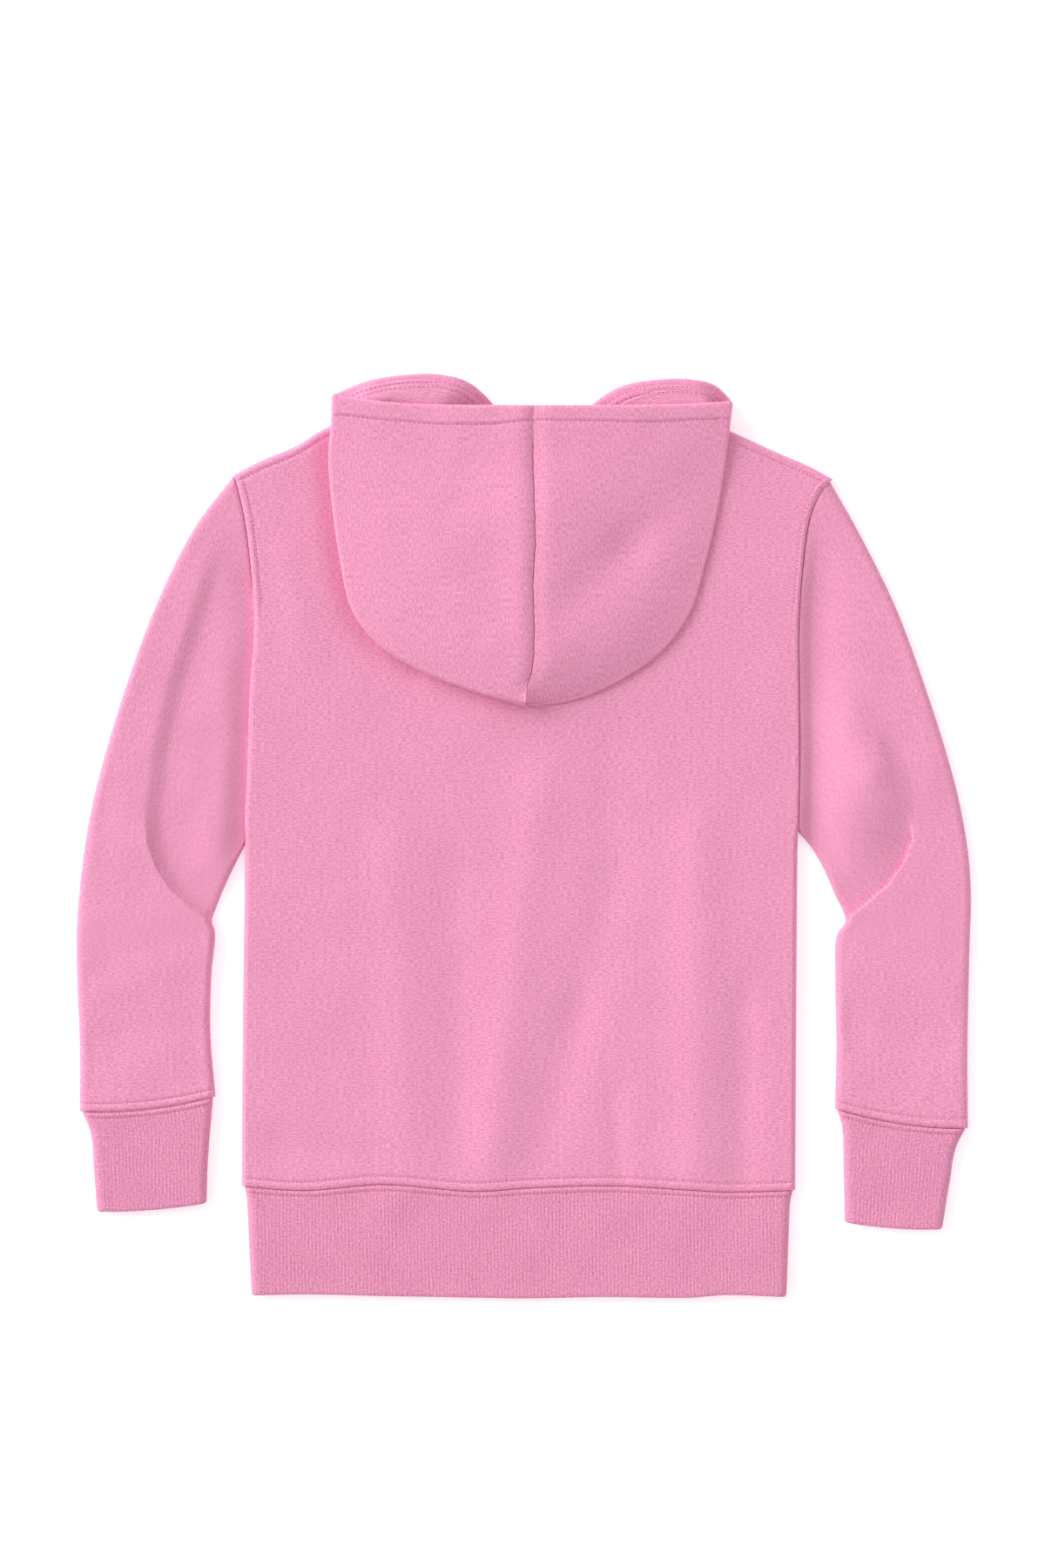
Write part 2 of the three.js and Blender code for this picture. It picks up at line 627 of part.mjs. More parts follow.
// One half of the hood: an upper layer from the centre seam out to the folded outline, and under
// it two flaps, one to the front neckline and round the mouth's lower edge, and one that lies on
// the back panel from the back neckline to the tip.
function hoodHalf(side) {
  const isLeft = side === "left";
  const outline = lineThrough(hoodOutline, side + "X", side + "Y", true);
  const rim = lineThrough(lowerRim, side + "X", side + "Y", true);
  const outward = isLeft ? -1 : 1;
  const neckX = isLeft ? neckLeft + neckBlend : neckRight - neckBlend;
  const tipY = hoodSeam[hoodSeam.length - 1].y + hoodRoll;
  const seamX = (y) => read(hoodSeam, "y", "x", y) + (outward * seamGap) / 2;
  const corner = outline(0);
  const nape = read(topLine, "x", "back", hoodSeam[0].x);
  const under = bodyTop + seamGap;

  // Each row's place along the outline and along the centre seam.
  const lengthOf = (from, to) =>
    Math.hypot(to[side + "X"] - from[side + "X"], to[side + "Y"] - from[side + "Y"]);
  const outlineLength = hoodOutline
    .slice(1)
    .reduce((sum, row, i) => sum + lengthOf(hoodOutline[i], row), 0);
  const shoulderX = hoodOutline[1][side + "X"] - outward * hoodRoll;
  const toShoulder = corner.y - read(topLine, "x", "back", shoulderX) - shoulderGap;
  const stations = hoodFirstRows.map((row) => ({
    onOutline: row.toShoulder * toShoulder,
    onSeam: row.onSeam,
  }));
  const split = stations.length - 1;
  const onNape = { onOutline: toShoulder + bodyRoll + napeGap, onSeam: hoodSixthRow };
  stations.push(onNape);
  for (let i = 1; i <= hoodRowsBelow; i++) {
    stations.push({
      onOutline: lerp(onNape.onOutline, outlineLength, i / hoodRowsBelow),
      onSeam: lerp(onNape.onSeam, mouthCentreY - tipY, i / hoodRowsBelow),
    });
  }
  const rowCount = stations.length;

  // The outline's outward direction, straight down at the tip where both halves meet.
  const direction = (share) => {
    const step = 0.01;
    const a = outline(clamp(share - step, 0, 1));
    const b = outline(clamp(share + step, 0, 1));
    const normal = new THREE.Vector3(b.y - a.y, a.x - b.x, 0).normalize();
    if (normal.x * outward < 0) normal.negate();
    const atCorner = 1 - smooth(share, 0, 0.08);
    const atTip = smooth(share, 0.9, 1);
    normal.lerp(new THREE.Vector3(outward, 0, 0), atCorner);
    return normal.lerp(new THREE.Vector3(0, -1, 0), atTip).normalize();
  };
  const topHeight = (share, across, x, y) => {
    const crown = lerp(hoodCrown, hoodShoulder, across ** 2);
    const mouth = hoodMouthDrop * (1 - smooth(share, 0, mouthReach)) * (1 - across ** 2);
    const tip = hoodTipDrop * smooth(share, 1 - tipReach, 1) * (1 - across ** 2);
    const seam = seamDip * Math.exp(-(((x - seamX(y)) / seamDipReach) ** 2));
    return crown - mouth - tip - seam + foldHeight(hoodFolds, x, y) * (1 - across ** 4);
  };

  const knots = [];
  const numbers = stations.map(() => ({ top: [], roll: [], flap: [], nape: [] }));
  const add = (outerPoint, innerPoint) => knots.push({ outer: outerPoint, inner: innerPoint }) - 1;
  stations.forEach((station, row) => {
    const share = station.onOutline / outlineLength;
    const isHem = row <= 1;
    const wall = isHem ? hoodHemWall : fleeceWall;
    const edge = outline(share);
    const out = direction(share);
    const inboard = edge.clone().addScaledVector(out, -hoodRoll);
    const seamY = mouthCentreY - station.onSeam;
    const start = new THREE.Vector3(seamX(seamY), seamY, 0);
    const isLast = row === rowCount - 1;

    // Upper layer
    for (let j = 0; j <= hoodColumns; j++) {
      const across = j / hoodColumns;
      if (isLast && j < hoodColumns) continue;
      const rise = (corner.y - mouthCentreY) * (across ** 4 - across) * (1 - share) ** 6;
      const x = lerp(start.x, inboard.x, across);
      const y = lerp(start.y, inboard.y, across) + rise;
      const z = topHeight(share, across, x, y);
      numbers[row].top[j] = add([x, y, z], [x, y, z - wall]);
    }
    if (isLast) numbers[row].top.fill(numbers[row].top[hoodColumns], 0, hoodColumns);

    // The turn at the outline
    const edgeTop = topHeight(share, 1, inboard.x, inboard.y);
    const low = row < split ? 0 : row === split ? overShoulder : under;
    const middle = (edgeTop + low) / 2;
    const half = (edgeTop - low) / 2;
    for (const angle of rollAngles) {
      const turn = THREE.MathUtils.degToRad(angle);
      const outerAt = edge.clone().addScaledVector(out, hoodRoll * (Math.cos(turn) - 1));
      const inAt = (hoodRoll - wall) * Math.cos(turn) - hoodRoll;
      const innerAt = edge.clone().addScaledVector(out, inAt);
      numbers[row].roll.push(
        add(
          [outerAt.x, outerAt.y, middle + half * Math.sin(turn)],
          [innerAt.x, innerAt.y, middle + (half - wall) * Math.sin(turn)],
        ),
      );
    }

    // The front flap, from the turn to the throat
    if (row <= split) {
      for (let j = 0; j <= flapColumns; j++) {
        const across = j / flapColumns;
        const onRim = rim(across);
        const besideNeck = clamp(across / rimAtNeck, 0, 1);
        const alongNeck = clamp((across - rimAtNeck) / (1 - rimAtNeck), 0, 1);
        const neckAt =
          across < rimAtNeck
            ? lerp(inboard.x, neckX, besideNeck)
            : lerp(neckX, throatX + (outward * throatGap) / 2, alongNeck);
        const above = lerp(shoulderGap, 2 * seamGap, smooth(alongNeck, 0, 0.2));
        const onNeck = new THREE.Vector3(neckAt, read(topLine, "x", "front", neckAt) + above, 0);
        const flapWidth = onRim.distanceTo(onNeck);
        const hemShare = Math.min(hoodHem / flapWidth, narrowHem);
        const stepShare = Math.min((hoodHem + hemStep) / flapWidth, narrowStep);
        const onFlap = [0, hemShare, stepShare, (stepShare + 1) / 2, 1][row];
        const place = j === 0 ? inboard : onRim.clone().lerp(onNeck, onFlap);
        const lift = row === split ? overShoulder * (1 - smooth(across, sinkFrom, sinkTo)) : 0;
        numbers[row].flap[j] = add([place.x, place.y, lift], [place.x, place.y, lift + wall]);
      }
    }

    // The flap on the back panel, from the turn to the neckline or the centre seam
    if (row >= split) {
      for (let j = 0; j <= flapColumns; j++) {
        const across = j / flapColumns;
        if (isLast && j > 0) continue;
        const down = (station.onOutline - toShoulder) / (outlineLength - toShoulder);
        const endY = lerp(nape, tipY, down);
        const x = lerp(inboard.x, seamX(endY), across);
        const neckline = read(topLine, "x", "back", x);
        const follow = Math.max(0, 1 - (station.onOutline - onNape.onOutline) / neckFollow) ** 2;
        const straightY = lerp(inboard.y, endY, across);
        const followedY = lerp(straightY, neckline - bodyRoll + napeGap, follow);
        const above = lerp(shoulderGap, -seamGap, smooth(across, 0, 0.1));
        const y = row === split ? neckline + above : followedY;
        const lift = row === split ? lerp(overShoulder, under, smooth(across, 0, 0.12)) : under;
        numbers[row].nape[j] = add([x, y, lift], [x, y, lift + wall]);
      }
      if (isLast) numbers[row].nape = Array(flapColumns + 1).fill(numbers[row].nape[0]);
    }
  });

  // At the split row both flaps start from the same knot.
  numbers[split].nape[0] = numbers[split].flap[0];
  const patches = [];
  const strip = (rows, columnsOf) => {
    for (let i = rows[0]; i < rows[1]; i++) {
      const a = columnsOf(numbers[i], i);
      const b = columnsOf(numbers[i + 1], i + 1);
      for (let j = 0; j < a.length - 1; j++) patches.push([a[j], a[j + 1], b[j + 1], b[j]]);
    }
  };
  strip([0, split], (n) => [...n.top, ...n.roll, ...n.flap]);
  strip([split, rowCount - 1], (n) => [...n.top, ...n.roll, ...n.nape]);
  return wallGeometry(dropUnused(knots, patches), patches);
}

// Knots that no patch uses are left out, and the patches follow the new numbers.
function dropUnused(knots, patches) {
  const used = [...new Set(patches.flat())];
  const renumber = new Map(used.map((old, i) => [old, i]));
  patches.forEach((patch, i) => (patches[i] = patch.map((k) => renumber.get(k))));
  return used.map((old) => knots[old]);
}

const fleecePink = new THREE.Color("#f18dbf");
const ribPink = new THREE.Color("#ee86b9");
const group = new THREE.Group();

function addPiece(name, geometry, color) {
  const material = new THREE.MeshStandardMaterial({ color, roughness: 0.95, metalness: 0 });
  const mesh = new THREE.Mesh(geometry, material);
  mesh.name = name;
  group.add(mesh);
}

addPiece("front", frontPanel(), fleecePink);
addPiece("back", backPanel(), fleecePink);
addPiece("sleeve_left", sleeve(leftSleeveSections, "left", leftElbowFold), fleecePink);
addPiece("sleeve_right", sleeve(rightSleeveSections, "right", rightElbowFold), fleecePink);
addPiece("cuff_left", cuff(leftCuffSections), ribPink);
addPiece("cuff_right", cuff(rightCuffSections), ribPink);
addPiece("waistband", waistband(), ribPink);
addPiece("hood_left", hoodHalf("left"), fleecePink);
addPiece("hood_right", hoodHalf("right"), fleecePink);

export default group;
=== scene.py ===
import bisect
import math

import bpy
from mathutils import Matrix, Vector, noise
from mathutils.bvhtree import BVHTree


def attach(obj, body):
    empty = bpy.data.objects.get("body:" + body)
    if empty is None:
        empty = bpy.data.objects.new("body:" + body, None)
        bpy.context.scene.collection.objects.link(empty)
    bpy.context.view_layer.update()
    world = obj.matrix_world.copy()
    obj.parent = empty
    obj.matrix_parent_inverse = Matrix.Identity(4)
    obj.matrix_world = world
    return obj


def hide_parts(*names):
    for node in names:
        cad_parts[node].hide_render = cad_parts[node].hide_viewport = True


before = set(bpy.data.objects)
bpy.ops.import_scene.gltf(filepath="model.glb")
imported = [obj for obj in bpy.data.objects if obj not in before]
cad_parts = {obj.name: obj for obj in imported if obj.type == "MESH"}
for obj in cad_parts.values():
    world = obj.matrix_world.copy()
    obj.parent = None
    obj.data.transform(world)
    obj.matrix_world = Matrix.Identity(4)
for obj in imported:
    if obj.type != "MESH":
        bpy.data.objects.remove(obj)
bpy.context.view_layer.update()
bpy.ops.object.select_all(action="DESELECT")
print("frame loaded:", ", ".join(sorted(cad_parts)))

# All sizes below are millimetres and become metres when a mesh is made. Only the sheets' cuts and
# areas are given in metres, as the frame takes them.
millimetre = 0.001

cloth = {
    "fleeceWall": 2.2,
    "ribWall": 2.9,
    "hemWall": 3.6,  # fleece turned over at the hood's edge
    "seamGap": 0.1,
    "seamTurn": 1.6,  # how far from a seam the cloth starts to turn down into it
    "stitchReach": 0.7,  # how far to each side a stitch row draws the cloth in
    "edgeWall": 0.12,  # the share of the wall left at the very edge of a rounded hem
    "foldFade": 30,  # how far a soft fold runs out past its ends
}


def lerp(a, b, t):
    return a + (b - a) * t


def clamp(x, low=0.0, high=1.0):
    return max(low, min(high, x))


def smooth(x, low, high):
    t = clamp((x - low) / (high - low))
    return t * t * (3 - 2 * t)


def bell(distance, reach):
    return math.exp(-((distance / reach) ** 2))


def roundOff(distance, radius):
    # height share of a quarter circle that starts at an edge
    return math.sqrt(1 - (1 - clamp(distance / radius)) ** 2)


def valueAt(rows, column, at):
    # smooth value of a column where the first column has the value "at"
    rising = 1 if rows[-1][0] > rows[0][0] else -1
    i = 0
    while i < len(rows) - 2 and rising * (at - rows[i + 1][0]) > 0:
        i += 1

    def slope(k):
        a = rows[max(k - 1, 0)]
        b = rows[min(k + 1, len(rows) - 1)]
        return (b[column] - a[column]) / (b[0] - a[0])

    span = rows[i + 1][0] - rows[i][0]
    t = clamp((at - rows[i][0]) / span)
    a, b = rows[i][column], rows[i + 1][column]
    return (
        a * (1 + 2 * t) * (1 - t) ** 2
        + b * (3 - 2 * t) * t**2
        + slope(i) * span * t * (1 - t) ** 2
        - slope(i + 1) * span * t**2 * (1 - t)
    )


def smoothLine(points, share):
    # a smooth curve through points in plan, by share of their count
    spot = clamp(share) * (len(points) - 1)
    i = min(int(spot), len(points) - 2)
    t = spot - i
    p1, p2 = points[i], points[i + 1]
    p0 = points[i - 1] if i else p1 * 2 - p2
    p3 = points[i + 2] if i + 2 < len(points) else p2 * 2 - p1
    a, b, c = ((q - p).length ** 0.5 for p, q in ((p0, p1), (p1, p2), (p2, p3)))
    m1 = ((p1 - p0) / a - (p2 - p0) / (a + b) + (p2 - p1) / b) * b
    m2 = ((p2 - p1) / b - (p3 - p1) / (b + c) + (p3 - p2) / c) * b
    return (
        p1 * (1 + 2 * t) * (1 - t) ** 2
        + p2 * (3 - 2 * t) * t**2
        + m1 * t * (1 - t) ** 2
        - m2 * t**2 * (1 - t)
    )


def evenLine(points):
    # the same curve, by share of its length
    fine = [smoothLine(points, k / 300) for k in range(301)]
    run = [0]
    for a, b in zip(fine, fine[1:]):
        run.append(run[-1] + (b - a).length)

    def at(share):
        target = clamp(share) * run[-1]
        k = clamp(bisect.bisect_right(run, target), 1, 300)
        return fine[k - 1].lerp(fine[k], (target - run[k - 1]) / (run[k] - run[k - 1]))

    return at


def offLine(line, x, y):
    # signed distance from a line of points in plan, the share along it, and the way in which the
    # distance grows
    best = (1e9, 1, 0, Vector((0, 0)))
    for i in range(len(line) - 1):
        ax, ay = line[i]
        dx, dy = line[i + 1][0] - ax, line[i + 1][1] - ay
        t = clamp(((x - ax) * dx + (y - ay) * dy) / (dx * dx + dy * dy))
        rx, ry = x - ax - dx * t, y - ay - dy * t
        away = math.hypot(rx, ry)
        if away < best[0]:
            side = 1 if dx * ry - dy * rx > 0 else -1
            best = (away, side, (i + t) / (len(line) - 1), Vector((rx, ry)) / max(away, 1e-6))
    return best[0] * best[1], best[2], best[3] * best[1]


def softFolds(folds, x, y):
    # each fold: its two ends, its height (a trough's is negative) and its reach to each side
    total = 0
    for x0, y0, x1, y1, height, reach in folds:
        dx, dy = x1 - x0, y1 - y0
        length = math.hypot(dx, dy)
        along = ((x - x0) * dx + (y - y0) * dy) / length
        past = max(0, -along, along - length) / cloth["foldFade"]
        aside = ((x - x0) * dy - (y - y0) * dx) / length / reach
        total += height * math.exp(-2 * aside**2 - 3 * past**2)
    return total


def slack(x, y, size, height):
    # the small unevenness of cloth that was laid by hand
    return height * noise.noise(Vector((x / size, y / size, size)))


def besideSeam(distance, stitch, puff, groove, turnDown):
    # cloth beside a sewn seam: it turns down into the seam, swells over the allowance and is
    # drawn in along the stitches
    turn = cloth["seamTurn"]
    swell = smooth(distance, 0, turn) * (1 - smooth(distance, stitch - 0.3, stitch + turn))
    drawnIn = bell(distance - stitch, cloth["stitchReach"])
    return puff * swell - groove * drawnIn - turnDown * (1 - roundOff(distance, turn))


def spacing(total, start, end, step):
    # shares of a length: given distances near both ends and even steps between them
    inner = total - start[-1] - end[-1]
    count = max(2, round(inner / step))
    middle = [start[-1] + inner * k / count for k in range(1, count)]
    return [d / total for d in start + middle + [total - d for d in reversed(end)]]


def closeEdge(outer, inner, share):
    # brings the two skins together towards a rounded free edge
    share = max(share, cloth["edgeWall"])
    middle = [(a + b) / 2 for a, b in zip(outer, inner)]
    return (
        tuple(lerp(m, a, share) for m, a in zip(middle, outer)),
        tuple(lerp(m, b, share) for m, b in zip(middle, inner)),
    )


def placeMesh(name, mesh):
    piece = bpy.data.objects.new(name, mesh)
    bpy.context.collection.objects.link(piece)
    bpy.context.view_layer.objects.active = piece
    piece.select_set(True)
    return piece


def sewPiece(name, knots, patches, materials, info):
    # A closed wall of cloth. A knot has an outer and an inner point, a patch has its knots and
    # their places on the weave, and the free edges are closed between the two skins.
    size = len(knots)
    points = [Vector(k[0]) * millimetre for k in knots] + [Vector(k[1]) * millimetre for k in knots]
    faces, weave, finish, edges = [], [], [], {}
    for ring, places, insideFinish in patches:
        keep = [i for i in range(len(ring)) if ring[i] != ring[i - 1]]
        if len(keep) < 3:
            continue
        ring, places = [ring[i] for i in keep], [places[i] for i in keep]
        faces += [ring, [k + size for k in reversed(ring)]]
        weave += [places, list(reversed(places))]
        finish += [0, insideFinish]
        for i in range(len(ring)):
            edges[ring[i - 1], ring[i]] = (places[i - 1], places[i])
    for (a, b), (placeA, placeB) in edges.items():
        if (b, a) not in edges:
            faces.append([b, a, a + size, b + size])
            weave.append([placeB, placeA, placeA, placeB])
            finish.append(0)
    mesh = bpy.data.meshes.new(name)
    mesh.from_pydata(points, [], faces)
    layer = mesh.uv_layers.new(name="weave")
    layer.data.foreach_set("uv", [c for places in weave for place in places for c in place])
    for material in materials:
        mesh.materials.append(material)
    mesh.polygons.foreach_set("material_index", finish)
    mesh.update()
    mesh.calc_loop_triangles()
    volume = sum(
        points[t.vertices[0]].dot(points[t.vertices[1]].cross(points[t.vertices[2]]))
        for t in mesh.loop_triangles
    )
    if volume < 0:
        mesh.flip_normals()
    mesh.validate()
    piece = placeMesh(name, mesh)
    bpy.ops.object.shade_smooth_by_angle(angle=math.radians(55))
    piece.select_set(False)
    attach(piece, "root")
    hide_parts(info["node"])
    area = round(sum(face.area for face in mesh.polygons) / 2, 4)
    print(name, "sewn:", len(mesh.loop_triangles), "triangles,", area, "square metres of cloth")
    return piece


# Materials

def linear(colour):
    # an sRGB hex colour as linear light
    parts = [int(colour[i : i + 2], 16) / 255 for i in (1, 3, 5)]
    return [p / 12.92 if p <= 0.04045 else ((p + 0.055) / 1.055) ** 2.4 for p in parts] + [1]


def addNode(tree, kind, values=None, wires=None, **settings):
    node = tree.nodes.new(kind)
    for key, value in settings.items():
        setattr(node, key, value)
    for key, value in (values or {}).items():
        node.inputs[key].default_value = value
    for key, socket in (wires or {}).items():
        tree.links.new(socket, node.inputs[key])
    return node


def knitMaterial(name, look):
    # The weave's coordinates are millimetres: x across the wales, y along them.
    material = bpy.data.materials.new(name)
    material.use_nodes = True
    tree = material.node_tree
    tree.nodes.clear()
    weave = addNode(tree, "ShaderNodeUVMap", uv_map="weave").outputs["UV"]
    place = addNode(tree, "ShaderNodeTexCoord").outputs["Object"]
    waves = 0.31416  # a wave texture of this scale has one band per unit
    wales = addNode(
        tree, "ShaderNodeTexWave", wave_type="BANDS", bands_direction="X",
        values={
            "Scale": waves / look["wale"], "Distortion": look["wander"], "Detail": 2, "Detail Scale": 0.9,
        },
        wires={"Vector": weave},
    ).outputs["Fac"]
    courses = addNode(
        tree, "ShaderNodeTexWave", wave_type="BANDS", bands_direction="Y",
        values={"Scale": waves / look["course"], "Distortion": 3, "Detail": 2, "Detail Scale": 1.4},
        wires={"Vector": weave},
    ).outputs["Fac"]
    fibres = addNode(
        tree, "ShaderNodeTexNoise", noise_dimensions="3D",
        values={"Scale": 1000 / look["fleck"], "Detail": 3, "Roughness": 0.65}, wires={"Vector": place},
    ).outputs["Fac"]
    clouds = addNode(
        tree, "ShaderNodeTexNoise",
        values={"Scale": 1000 / look["cloud"], "Detail": 2}, wires={"Vector": place},
    ).outputs["Fac"]
    # heather: fibres of a lighter and a darker dye, in short dashes along the courses
    stretched = addNode(
        tree, "ShaderNodeMapping", values={"Scale": (1 / look["dash"][0], 1 / look["dash"][1], 1)},
        wires={"Vector": weave},
    ).outputs["Vector"]
    heather = addNode(
        tree, "ShaderNodeTexNoise", noise_dimensions="2D",
        values={"Scale": 1, "Detail": 4, "Roughness": 0.75}, wires={"Vector": stretched},
    ).outputs["Fac"]
    loops = addNode(
        tree, "ShaderNodeMath", operation="MULTIPLY_ADD", values={1: 0.4}, wires={0: courses, 2: wales},
    ).outputs[0]
    # painted shade: darker between the wales, in their valleys
    shade = addNode(
        tree, "ShaderNodeMapRange",
        values={"From Min": 0.1, "From Max": 1.1, "To Min": look["valleyShadeShare"], "To Max": 0},
        wires={"Value": loops},
    ).outputs["Result"]
    patchy = addNode(
        tree, "ShaderNodeMapRange", values={"From Min": 0.3, "From Max": 0.62}, wires={"Value": clouds},
    ).outputs["Result"]
    mottled = addNode(
        tree, "ShaderNodeMix", data_type="RGBA",
        values={6: linear(look["shadeColour"]), 7: linear(look["colour"])}, wires={"Factor": patchy},
    ).outputs[2]
    valleyShaded = addNode(
        tree, "ShaderNodeMix", data_type="RGBA", values={7: linear(look["valleyShadeAndSpeckColour"])},
        wires={"Factor": shade, 6: mottled},
    ).outputs[2]
    # the paler polyester fibres, and the darker cotton ones below
    flecks = addNode(
        tree, "ShaderNodeMapRange", values={"From Min": 0.5, "From Max": 0.72, "To Max": look["flecks"]},
        wires={"Value": heather},
    ).outputs["Result"]
    specks = addNode(
        tree, "ShaderNodeMapRange", values={"From Min": 0.5, "From Max": 0.28, "To Max": look["specks"]},
        wires={"Value": heather},
    ).outputs["Result"]
    flecked = addNode(
        tree, "ShaderNodeMix", data_type="RGBA", values={7: linear(look["fleckColour"])},
        wires={"Factor": flecks, 6: valleyShaded},
    ).outputs[2]
    finished = addNode(
        tree, "ShaderNodeMix", data_type="RGBA", values={7: linear(look["valleyShadeAndSpeckColour"])},
        wires={"Factor": specks, 6: flecked},
    ).outputs[2]
    height = addNode(
        tree, "ShaderNodeMath", operation="MULTIPLY_ADD",
        values={1: look["nap"]}, wires={0: fibres, 2: loops},
    ).outputs[0]
    bump = addNode(
        tree, "ShaderNodeBump",
        values={"Strength": 0.55, "Distance": look["relief"] * millimetre}, wires={"Height": height},
    ).outputs["Normal"]
    shader = addNode(
        tree, "ShaderNodeBsdfPrincipled",
        values={
            "Roughness": 0.93, "IOR": 1.46, "Specular IOR Level": 0.18,
            "Sheen Weight": look["sheen"], "Sheen Roughness": 0.55, "Sheen Tint": linear("#ffdcec"),
        },
        wires={"Base Color": finished, "Normal": bump},
    )
    addNode(tree, "ShaderNodeOutputMaterial", wires={"Surface": shader.outputs["BSDF"]})
    return material


# In each look, wale, course, fleck, dash, cloud and relief are millimetres and the others are shares. The
# valley shade share and its colour paint shade between the wales; the same colour also dyes the darker
# cotton specks.
# Cotton and polyester fleece, jersey side out: matt, fine vertical wales, a light heather
jerseyFace = knitMaterial("fleeceJerseyFace", {
    "wale": 1.02, "course": 0.85, "wander": 1.6, "fleck": 0.9, "dash": (2, 0.8), "cloud": 26,
    "valleyShadeShare": 0.06, "flecks": 0.9, "specks": 0.9, "nap": 1.5, "relief": 0.08, "sheen": 0.2,
    "colour": "#f09cbf", "shadeColour": "#ee99bc", "valleyShadeAndSpeckColour": "#cf7aa0", "fleckColour": "#fab4d2",
})
# The same cloth's inside, brushed: no wales, only a soft nap
brushedBack = knitMaterial("fleeceBrushedBack", {
    "wale": 1.6, "course": 1.4, "wander": 6, "fleck": 1.3, "dash": (2.4, 2.2), "cloud": 18,
    "valleyShadeShare": 0.15, "flecks": 0.5, "specks": 0.4, "nap": 1.6, "relief": 0.25, "sheen": 0.3,
    "colour": "#f0a1c2", "shadeColour": "#ec9bbd", "valleyShadeAndSpeckColour": "#d37fa5", "fleckColour": "#fbb8d5",
})
# Cotton rib with a little elastane, 1 by 1: matt, deep valleys between its ribs. Its colour is darker than
# the fleece's, partly its own dye and partly painted shade of those valleys.
ribKnit = knitMaterial("ribKnit", {
    "wale": 1.15, "course": 0.95, "wander": 1.6, "fleck": 1.0, "dash": (1.3, 1), "cloud": 22,
    "valleyShadeShare": 0.12, "flecks": 0.9, "specks": 0.95, "nap": 1.3, "relief": 0.14, "sheen": 0.18,
    "colour": "#ea96b8", "shadeColour": "#e691b4", "valleyShadeAndSpeckColour": "#c87196", "fleckColour": "#f8b0cf",
})


def threadMaterial():
    # Spun polyester sewing thread: a touch glossier than the fleece, and darker than it, which is painted
    # shade of the needle holes the stitches sink into
    material = bpy.data.materials.new("threadWithHoleShade")
    material.use_nodes = True
    tree = material.node_tree
    tree.nodes.clear()
    place = addNode(tree, "ShaderNodeTexCoord").outputs["Object"]
    twist = addNode(
        tree, "ShaderNodeTexNoise", values={"Scale": 1400, "Detail": 1}, wires={"Vector": place},
    ).outputs["Fac"]
    # painted shade: both pinks are darker than the cloth's, standing for the shade in the needle holes; the
    # twist mixes them
    colour = addNode(
        tree, "ShaderNodeMix", data_type="RGBA",
        values={6: linear("#c4688f"), 7: linear("#e38fb4")}, wires={"Factor": twist},
    ).outputs[2]
    shader = addNode(
        tree, "ShaderNodeBsdfPrincipled",
        values={"Roughness": 0.62, "IOR": 1.5, "Sheen Weight": 0.1}, wires={"Base Color": colour},
    )
    addNode(tree, "ShaderNodeOutputMaterial", wires={"Surface": shader.outputs["BSDF"]})
    return material


threadWithHoleShade = threadMaterial()
print("materials made")

# Body

# the folded hood's left outline x and y, right outline x and y, from the mouth's corners to the tip
hoodOutline = [
    (-97.7, 224.6, 106.5, 221.1), (-98.2, 208, 104.6, 206), (-99.3, 192, 102.4, 187),
    (-97.5, 168, 98.6, 164.4), (-93.7, 141.3, 93, 140.6), (-87.4, 115, 84.8, 113.9),
    (-74.6, 97.9, 70.2, 93.9), (-54.7, 84.8, 49, 79.2), (-25.9, 73.5, 25.9, 69.4), (0.86, 65.8, 0.94, 65.9),
]
body = {
    "top": 7,
    "roll": 2.4,  # how far in from a folded edge the cloth starts to turn down
    "frontInset": 3.3,
    "armholeBlend": 12,
    "neckBlend": 8,
    "waistGap": 0.1,
    "armholeGap": 0.15,
    "neckLeft": -87,
    "neckRight": 95,
    "lap": 1.1,  # how far the body's left edge laps over the sleeve above the underarm
    "turnDown": 0.9,  # how far the cloth goes down into the armhole's seam
    "lapDown": 2.3,  # how much further the left edge goes down, beside the sleeve's dip
    "waistStitch": 4.1,  # each stitch row's distance from its seam
    "shoulderStitch": 4.9,
    "leftArmholeStitch": 3.7,
    "rightArmholeStitch": 3,
    "stitchEnd": 118,  # below this height the armhole's stitches are hidden
    "seamPuff": 0.3,  # the swell over a seam's allowance
    "waistGroove": 0.7,
    "armholeGroove": 0.4,
    "shoulderGroove": (0.4, 0.8),  # depth and reach
    "shoulderSeam": (4, 92, 100),  # its middle, and how far from it the seam comes out of the hood
    "pressed": 2,  # how far the hood's left edge presses the back down
    "pressReach": 6,
    "slack": ((44, 0.5), (15, 0.16)),  # the size and height of the cloth's unevenness
    "edgeFade": 20,  # the unevenness and the folds fade out over this distance from a side
    "lapStarts": (-2, 12),
    "lapEnds": (95, 140),
    "waistDown": 0.8,  # how far the cloth goes down into the waist seam
    "thinnest": 0.7,
    "meshStep": (2.9, 3),
}
# height, left edge, right edge
bodySections = [
    (-179, -143.8, 138.4), (-106, -143.3, 138.8), (-35, -142.4, 139.3), (-4, -141.8, 139.6),
    (31, -139.8, 140.4), (71, -138.6, 140.1), (100, -136.6, 139.9), (131, -138.9, 141.9),
    (158, -142, 145.4), (175, -145.4, 151.6), (184, -147.6, 157.6),
]
# place across, the back's top edge, the front's top edge
topLine = [
    (-147.6, 184.2, 184.2), (-133.6, 191.5, 191.5), (-115.8, 199, 199), (-101.7, 207.6, 207.6),
    (-87, 213, 213), (-79, 211, 210.6), (-66, 206.6, 199), (-40, 203, 184), (4, 201, 175),
    (48, 203, 184), (74, 206.6, 199), (87, 210, 209.6), (95, 211.5, 211.5), (107, 205.6, 205.6),
    (130.5, 194.9, 194.9), (145.5, 188.5, 188.5), (157.6, 181.8, 181.8),
]
